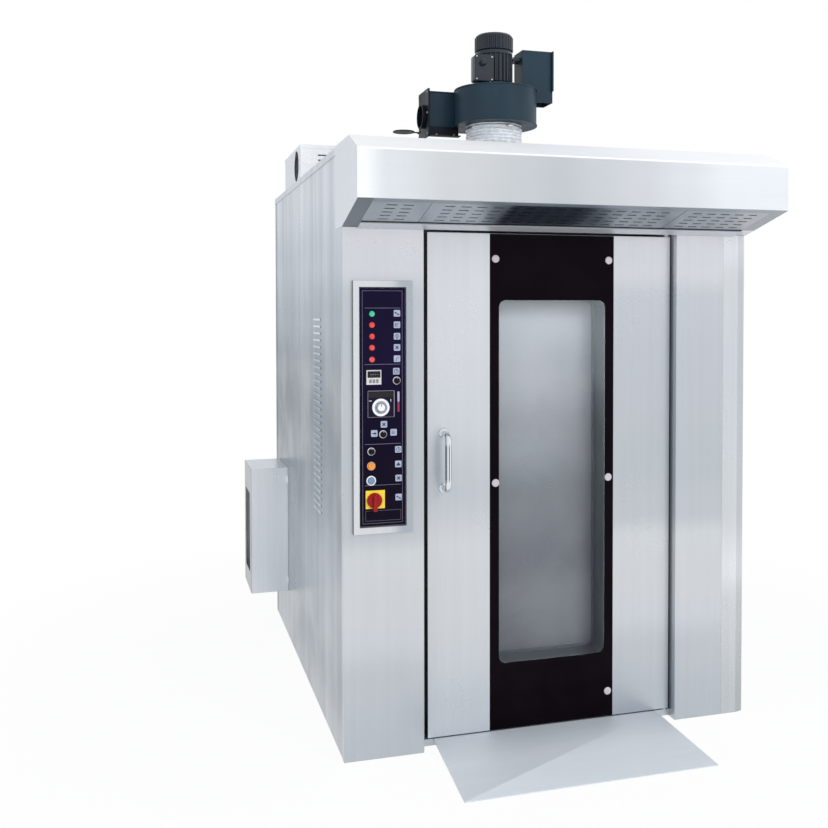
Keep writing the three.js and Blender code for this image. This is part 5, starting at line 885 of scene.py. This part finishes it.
def collar_sleeve():
    """Flexible duct: R = 101.5 + 6.2 |sin|^0.7 mm over 6.5 ribs up the sleeve, each loop pushed a millimetre
    in and out by slow waves round it, and spread at its foot."""
    t = round_steps(132)
    s = np.linspace(0, 1, 92)[:, None]
    rib = np.abs(np.sin(math.pi * COLLAR_RIBS * s)) ** 0.7
    wave = 0.0009 * np.sin(5 * t + 14 * s) + 0.0007 * np.sin(11 * t - 23 * s)
    r = COLLAR_R + COLLAR_RIB * rib + 0.002 * (1 - s) ** 2 + wave
    sway = 0.0008 * np.sin(3 * t + 2.0) * np.sin(math.pi * s)
    z = HOOD_TOP + 0.0008 + s * (CASING_Z[0] - HOOD_TOP - 0.0016) + sway
    outer, inner = (laid(k * np.cos(t), k * np.sin(t), z, "z") for k in (r, r - COLLAR_THICK))
    return skin(np.concatenate([outer, inner[::-1]]) + np.array(fan_at()), ring_closed=True)


def collar_clamps():
    """Upper and lower band clamps, the upper one with its screw ear."""
    return [ring(0.1045, 0.1092, HOOD_TOP + 0.068, HOOD_TOP + 0.077, fan_at(), "z", 96),
            ring(0.106, 0.1088, HOOD_TOP + 0.004, HOOD_TOP + 0.011, fan_at(), "z", 96),
            soft_box((FAN_X + 0.016, FAN_X + 0.034), (FAN_Y - 0.121, FAN_Y - 0.106),
                     (HOOD_TOP + 0.067, HOOD_TOP + 0.078), 0.002, 0.001)]


piece("scroll_casing", scroll_casing(), ENAMEL, "oven_body", ["blower_casing"])
piece("outlet_flange", outlet_flange(), ENAMEL_DARK, "oven_body")
piece("blower_bolts", blower_bolts(), BOLT, "oven_body")
piece("fan_motor", fan_motor() + cowl_grille(), MOTOR_BLACK, "oven_body", ["blower_motor"])
piece("junction_box", junction_box(), MOTOR_BLACK, "oven_body", ["terminal_box"])
piece("junction_screws", junction_screws(), BOLT, "oven_body")
piece("collar_sleeve", collar_sleeve(), FOIL, "oven_body", ["flex_collar"], angle=80)
piece("collar_clamps", collar_clamps(), BRIGHT, "oven_body")


# ---- control panel
def panel_at(x, z, out=0.0):
    return (PANEL_X + x, PLATE_Y - out, z)


def panel_block(x, z, out, corner, edge, steps=6):
    """Soft box on the panel over spans of x, height and depth, the depth measured out from the plate."""
    across, depth = (PANEL_X + x[0], PANEL_X + x[1]), (PLATE_Y - out[1], PLATE_Y - out[0])
    return soft_box(across, depth, z, corner, edge, "y", steps)


def bar_line(x, z, out=0.0):
    """Thin raised strip on the panel, from span to span."""
    return panel_block(x, z, (out - 0.0002, out + 0.0004), min(x[1] - x[0], z[1] - z[0]) * 0.3, 0.00016, 3)


def knob(name, x, z):
    """Selector: turned skirt, and a cap with a raised bar grip and a pointer dot that points up."""
    at = panel_at(x, z)
    skirt = lathe([(0.0144, 0.0003), (0.0146, 0.0022), (0.0138, 0.0032), (0.0122, 0.0034)], at, "y", 48)
    cap = lathe([(0.012, 0.003), (0.0122, 0.008), (0.0112, 0.0094), (0.004, 0.0096)], at, "y", 48)
    u, v = rounded(0.003, 0.0108, 0.0026, 5)
    grip = stacked([(k * u, k * v, w) for k, w in ((1.0, 0.0085), (1.0, 0.0136), (0.86, 0.0148))], at)
    t = round_steps(8)
    dot = np.stack([at[0] + 0.0012 * np.cos(t), z + 0.0092 + 0.0012 * np.sin(t)], 1)
    piece(name + "_cap", [cap, grip], BLACK, name, [name])
    piece(name + "_skirt", skirt, WHITE, name)
    pointer = slab(dot, -PLATE_Y + 0.0146, -PLATE_Y + 0.0152, "y")
    piece(name + "_pointer", pointer, WHITE, name)


knob("timer_selector", 0.204, 1.428)
knob("heat_selector", 0.151, 1.228)
knob("light_selector", 0.106, 1.165)

dial_at = panel_at(0.142, 1.329, DIAL_OUT)


def dial_marks():
    """Thirty bars round the scale, every fifth one longer, the first at the top."""
    marks = []
    for k in range(30):
        inner = 0.0172 if k % 5 == 0 else 0.019
        bar = radial_bar(math.radians(90 - 12 * k), inner, 0.0222, 0.0004)
        marks.append(slab(bar + (dial_at[0], dial_at[2]), -dial_at[1] + 0.0034, -dial_at[1] + 0.004, "y"))
    return marks


dial_grip = [(0.014, 0.0), (0.014, 0.012), (0.0128, 0.0146), (0.005, 0.0152)]
piece("dial_rim", [ring(0.024, 0.033, 0.0, 0.0046, dial_at, "y", 72, 0.0012),
                   lathe(dial_grip, dial_at, "y", 48)],
      WHITE, "thermostat_dial", ["thermostat_dial"])
piece("dial_scale", ring(0.0132, 0.0246, 0.0, 0.0036, dial_at, "y", 72), GREY_SCALE, "thermostat_dial")
piece("dial_marks", dial_marks(), WHITE, "thermostat_dial")
piece("dial_pointer", panel_block((0.1408, 0.1432), (1.333, 1.3425), (0.0185, 0.0195), 0.0008, 0.0003), INK,
      "thermostat_dial")


# Push buttons: lathed caps with a shallow dished face, in rings fixed to the plate
push_cap = [(0.013, -0.012), (0.013, 0.0088), (0.0118, 0.0106), (0.009, 0.011), (0.006, 0.0104),
            (0.001, 0.0101)]
push_at = {"steam_button": panel_at(0.105, 1.111), "start_button": panel_at(0.105, 1.056)}
for name, material, slot_name in (("steam_button", ORANGE, "orange_plastic"),
                                  ("start_button", SILVER_BLUE, "blue_plastic")):
    piece(name + "_cap", lathe(push_cap, push_at[name], "y", 48), material, name, [name])
for name, outer, material, slot_name in (("steam_button", 0.0162, ORANGE_RING, "orange_plastic"),
                                         ("start_button", 0.0184, WHITE, "white_plastic")):
    piece(name + "_ring", ring(0.0136, outer, 0.0002, 0.0056, push_at[name], "y", 56, 0.0012), material,
          "oven_body")


def switch_handle():
    """Rotary isolator handle: a fluted disc under a tapered grip that reaches past it below."""
    at = panel_at(0.117, 0.982, ESCUTCHEON_OUT)
    t = round_steps(96)
    flute = 0.0288 - 0.0006 * (0.5 + 0.5 * np.cos(16 * t))
    disc = stacked([(k * flute * np.cos(t), k * flute * np.sin(t), w) for k, w in (
        (1.0, 0.0004), (1.0, 0.0066), (0.94, 0.0096), (0.86, 0.0102))], at)
    u, v = rounded(0.0088, 0.033, 0.007, 8)
    narrow = 1 - 0.22 * (v - v.min()) / (v.max() - v.min())
    grip = stacked([(k * u * narrow, -0.0075 + v * (0.5 + 0.5 * k), w) for k, w in (
        (1.06, 0.009), (1.0, 0.016), (0.9, 0.0218), (0.72, 0.0236))], at)
    return [disc, grip]


piece("isolator_handle", switch_handle(), RED, "main_switch_handle", ["main_switch_handle"])

# Pilot lamps: low domes in thin rims
LAMP_Z = (1.678, 1.637, 1.594, 1.552, 1.508)
dome = [(0.0108, -0.004), (0.0108, 0.0012), (0.0098, 0.003), (0.007, 0.0046), (0.003, 0.0054),
        (0.0004, 0.0055)]
piece("pilot_lenses", [lathe(dome, panel_at(0.11, z), "y", 36) for z in LAMP_Z], LENS, "oven_body",
      ["indicator_lamps"])
piece("pilot_rims", [ring(0.0106, 0.0122, 0.0, 0.0014, panel_at(0.11, z), "y", 36) for z in LAMP_Z], BLACK,
      "oven_body")


def printed_lines():
    """A border round the plate, four dividers, and the empty frame at its foot."""
    def uprights(lefts, z, wide):
        return [bar_line((x, x + wide), z) for x in lefts]

    def levels(x, feet, wide):
        return [bar_line(x, (z, z + wide)) for z in feet]

    border = uprights((0.073, 0.2253), (0.8945, 1.7645), 0.0012)
    border += levels((0.073, 0.2265), (0.8945, 1.7633), 0.0012)
    dividers = levels((0.082, 0.219), (1.699, 1.489, 1.191, 1.037), 0.0014)
    foot = levels((0.084, 0.22), (0.904, 0.942), 0.0009) + uprights((0.084, 0.2191), (0.904, 0.942), 0.0009)
    return border + dividers + foot


piece("printed_lines", printed_lines(), PRINT, "oven_body")

ICONS = (("plug", 0.206, 1.68), ("panel", 0.206, 1.637), ("lamp", 0.206, 1.594), ("fan", 0.206, 1.552),
         ("steps", 0.206, 1.51), ("clock", 0.203, 1.463), ("fan", 0.155, 1.265), ("arrow", 0.118, 1.232),
         ("panel", 0.192, 1.234), ("clock", 0.21, 1.169), ("heap", 0.21, 1.114), ("fan", 0.211, 1.061),
         ("plug", 0.211, 0.989))
ICON_HALF = 0.0124
piece("symbol_squares", [panel_block((x - ICON_HALF, x + ICON_HALF), (z - ICON_HALF, z + ICON_HALF),
                                     (-0.0002, 0.0005), 0.0035, 0.0002) for _, x, z in ICONS],
      ICON, "oven_body")


def sign(kind, x, z):
    """Plain sign made of bars, hoops, dots and wedges, in millimetres from the middle of its square."""
    low, high = 0.0003, 0.0009

    def flat(*corners):
        return slab(np.array(corners) * 0.001 + (PANEL_X + x, z), -PLATE_Y + low, -PLATE_Y + high, "y")

    def bar(a, b, width=1.8):
        a, b = np.array(a), np.array(b)
        along = (b - a) / np.linalg.norm(b - a)
        side = np.array([-along[1], along[0]]) * width / 2
        return flat(a - side, b - side, b + side, a + side)

    def hoop(r, up=0.0):
        return ring(r - 0.0018, r, low, high, panel_at(x, z + up), "y", 28, 0.0001)

    def dot(r, up=0.0):
        return lathe([(r, low), (r, high)], panel_at(x, z + up), "y", 24)

    return {
        "plug": lambda: [bar((-8, 4), (-1, -1), 4.8), bar((1, -2), (8, -6), 4.8)],
        "panel": lambda: [bar((-6, h), (6, h), 1.5) for h in (-5, 0, 5)] + [bar((-6, -6), (-6, 6))],
        "fan": lambda: [bar((0, 0), (8 * math.cos(a), 8 * math.sin(a)), 3.4)
                        for a in np.radians((45, 135, 225, 315))] + [dot(0.0026)],
        "clock": lambda: [hoop(0.0086), bar((0, 0), (0, 6.2)), bar((0, 0), (4.4, 0))],
        "steps": lambda: [bar((-8, -6), (-2, -6)), bar((-2, -6), (-2, 1)), bar((-2, 1), (7, 6))],
        "lamp": lambda: [hoop(0.0068, 0.0012), bar((-2.6, -7.6), (2.6, -7.6), 2.6), dot(0.002, 0.0012)],
        "heap": lambda: [flat((-9, -6), (9, -6), (0, 6)), dot(0.0028, 0.003)],
        "arrow": lambda: [bar((-8, 0), (3, 0), 3.4), flat((1, -6), (9, 0), (1, 6))],
    }[kind]()


piece("symbol_signs", [part for icon in ICONS for part in sign(*icon)], INK, "oven_body")

# Timer: pale case with a dark display over a pale keypad of three keys. Thermostat: pale frame, violet
# field, dark window strip and two white ticks, and beside it a thermometer
TUBE_X, PRINTED = (0.207, 0.215), (-0.0002, 0.0008)
for name, parts, material, slot_name in (
        ("timer_display",
         [panel_block((0.0915, 0.1405), (1.4405, 1.465), (0.0045, 0.0075), 0.001, 0.0004)],
         SCREEN, "black_plastic"),
        ("timer_keys", [panel_block((x, x + 0.0085), (1.421, 1.4345), (0.0055, 0.0087), 0.0015, 0.0005)
                        for x in (0.0985, 0.1115, 0.1245)], GREY_SCALE, "pale_plastic"),
        ("timer_segments", [bar_line((x, x + 0.0056), (1.452, 1.4526), 0.0075)
                            for x in (0.101, 0.1095, 0.118, 0.1265)], PALE, "pale_plastic"),
        ("thermostat_frame", [panel_block(x, z, (0.004, 0.0056), corner, 0.0003) for x, z, corner in (
            ((0.092, 0.0938), (1.292, 1.392), 0.0008), ((0.1918, 0.195), (1.292, 1.392), 0.0008),
            ((0.092, 0.195), (1.292, 1.2934), 0.0006), ((0.092, 0.195), (1.39, 1.392), 0.0008))],
         FRAME_GREY, "pale_plastic"),
        ("thermostat_field",
         [panel_block((0.0965, 0.1905), (1.2965, 1.3655), (0.0032, 0.004), 0.001, 0.0002)],
         FIELD, "panel_film"),
        ("thermostat_window",
         [panel_block((0.0965, 0.1905), (1.3665, 1.3875), (0.0032, 0.0042), 0.001, 0.0003)],
         SCREEN, "black_plastic"),
        ("thermostat_ticks", [bar_line((0.0975, 0.1085), (1.353, 1.355), 0.004),
                              bar_line((0.1795, 0.1815), (1.35, 1.36), 0.004)], WHITE, "white_plastic"),
        ("thermometer_tube", [panel_block(TUBE_X, (1.348, 1.387), PRINTED, 0.003, 0.0003)],
         ICON, "pale_plastic"),
        ("thermometer_column", [panel_block(TUBE_X, (1.31, 1.3478), PRINTED, 0.003, 0.0003)],
         RED_PRINT, "red_plastic")):
    piece(name, parts, material, "oven_body")


# ---- studio
def floor():
    """White floor 60 m across that keeps the oven's shadow near it and fades to plain white further out."""
    reach, under = 30, -0.0005
    t = round_steps(64)
    loop = np.stack([reach * np.cos(t), reach * np.sin(t), np.full_like(t, under)], 1)
    mesh = bpy.data.meshes.new("floor")
    mesh.from_pydata(loop, [], [list(range(len(t)))])
    made = bpy.data.objects.new("floor", mesh)
    bpy.context.scene.collection.objects.link(made)
    sheet = bpy.data.materials.new("white_floor")
    sheet.use_nodes = True
    tree = sheet.node_tree
    tree.nodes.clear()
    path = node(tree, "LightPath").outputs
    seen = sums(tree, "MAXIMUM", path["Is Camera Ray"],
                sums(tree, "MAXIMUM", path["Is Glossy Ray"], path["Is Transmission Ray"]))
    plain = node(tree, "BsdfDiffuse", {"Color": tint(250, 250, 250)}).outputs[0]
    glow = node(tree, "Emission", {"Color": (1, 1, 1, 1), "Strength": 1.0}).outputs[0]
    away = node(tree, "VectorMath", {0: places(tree)[0]}, operation="LENGTH").outputs["Value"]
    share = span(tree, away, 1.4, 3.6, 0.94, 1.0, smooth=True)
    lifted = node(tree, "MixShader", {0: times(tree, seen, share), 1: plain, 2: glow}).outputs[0]
    tree.links.new(lifted, node(tree, "OutputMaterial").inputs["Surface"])
    mesh.materials.append(sheet)


def studio_world():
    """White where the camera or glass looks, soft pale light, and reflections that brighten to the right."""
    world = bpy.data.worlds.new("studio")
    bpy.context.scene.world = world
    world.use_nodes = True
    tree = world.node_tree
    tree.nodes.clear()
    path = node(tree, "LightPath").outputs
    seen = sums(tree, "MAXIMUM", path["Is Camera Ray"], path["Is Transmission Ray"])
    way = node(tree, "SeparateXYZ", {"Vector": node(tree, "TexCoord").outputs["Generated"]}).outputs
    side = sums(tree, "SUBTRACT", times(tree, way["X"], 0.6), times(tree, way["Y"], 0.5))
    whites = evenly((214, 219, 224), (236, 239, 242), (255, 255, 255))
    glossy = ramp(tree, span(tree, side, -0.9, 0.5), whites)
    soft = node(tree, "Background", {"Color": tint(238, 242, 248), "Strength": 0.62}).outputs[0]
    shine = node(tree, "Background", {"Color": glossy, "Strength": 1.0}).outputs[0]
    white = node(tree, "Background", {"Color": (1, 1, 1, 1), "Strength": 1.0}).outputs[0]
    lit = node(tree, "MixShader", {0: path["Is Glossy Ray"], 1: soft, 2: shine}).outputs[0]
    whole = node(tree, "MixShader", {0: seen, 1: lit, 2: white}).outputs[0]
    tree.links.new(whole, node(tree, "OutputWorld").inputs["Surface"])


def lamp(name, at, aim, size, power):
    """Soft area lamp aimed at a point, left out of reflections."""
    data = bpy.data.lights.new(name, "AREA")
    data.shape, data.size, data.size_y, data.energy = "RECTANGLE", size[0], size[1], power
    made = bpy.data.objects.new(name, data)
    bpy.context.scene.collection.objects.link(made)
    made.location = at
    made.visible_glossy = False
    back = np.array(at) - np.array(aim)
    yaw, lean = math.atan2(back[0], -back[1]), math.atan2(back[2], math.hypot(back[0], back[1]))
    made.rotation_euler = (math.pi / 2 - lean, 0, yaw)


floor()
studio_world()
lamp("key", (2.6, -5.6, 4.2), (0, -0.3, 1.2), (3.5, 3.0), 210)
lamp("fill", (-4.6, -4.4, 3.0), (-0.4, 0.0, 1.1), (3.0, 3.0), 70)

camera = bpy.data.cameras.new("camera")
camera.lens, camera.sensor_width, camera.shift_x, camera.shift_y = 43.32, 36.0, -0.0313, -0.0963
camera.clip_end = 200
eye = bpy.data.objects.new("camera", camera)
bpy.context.scene.collection.objects.link(eye)
eye.location = (-1.541, -4.3779, 1.6942)
eye.rotation_euler = (math.pi / 2 - 0.0249, 0.0011, -0.2857)
bpy.context.scene.camera = eye
bpy.context.scene.view_settings.view_transform = "Standard"
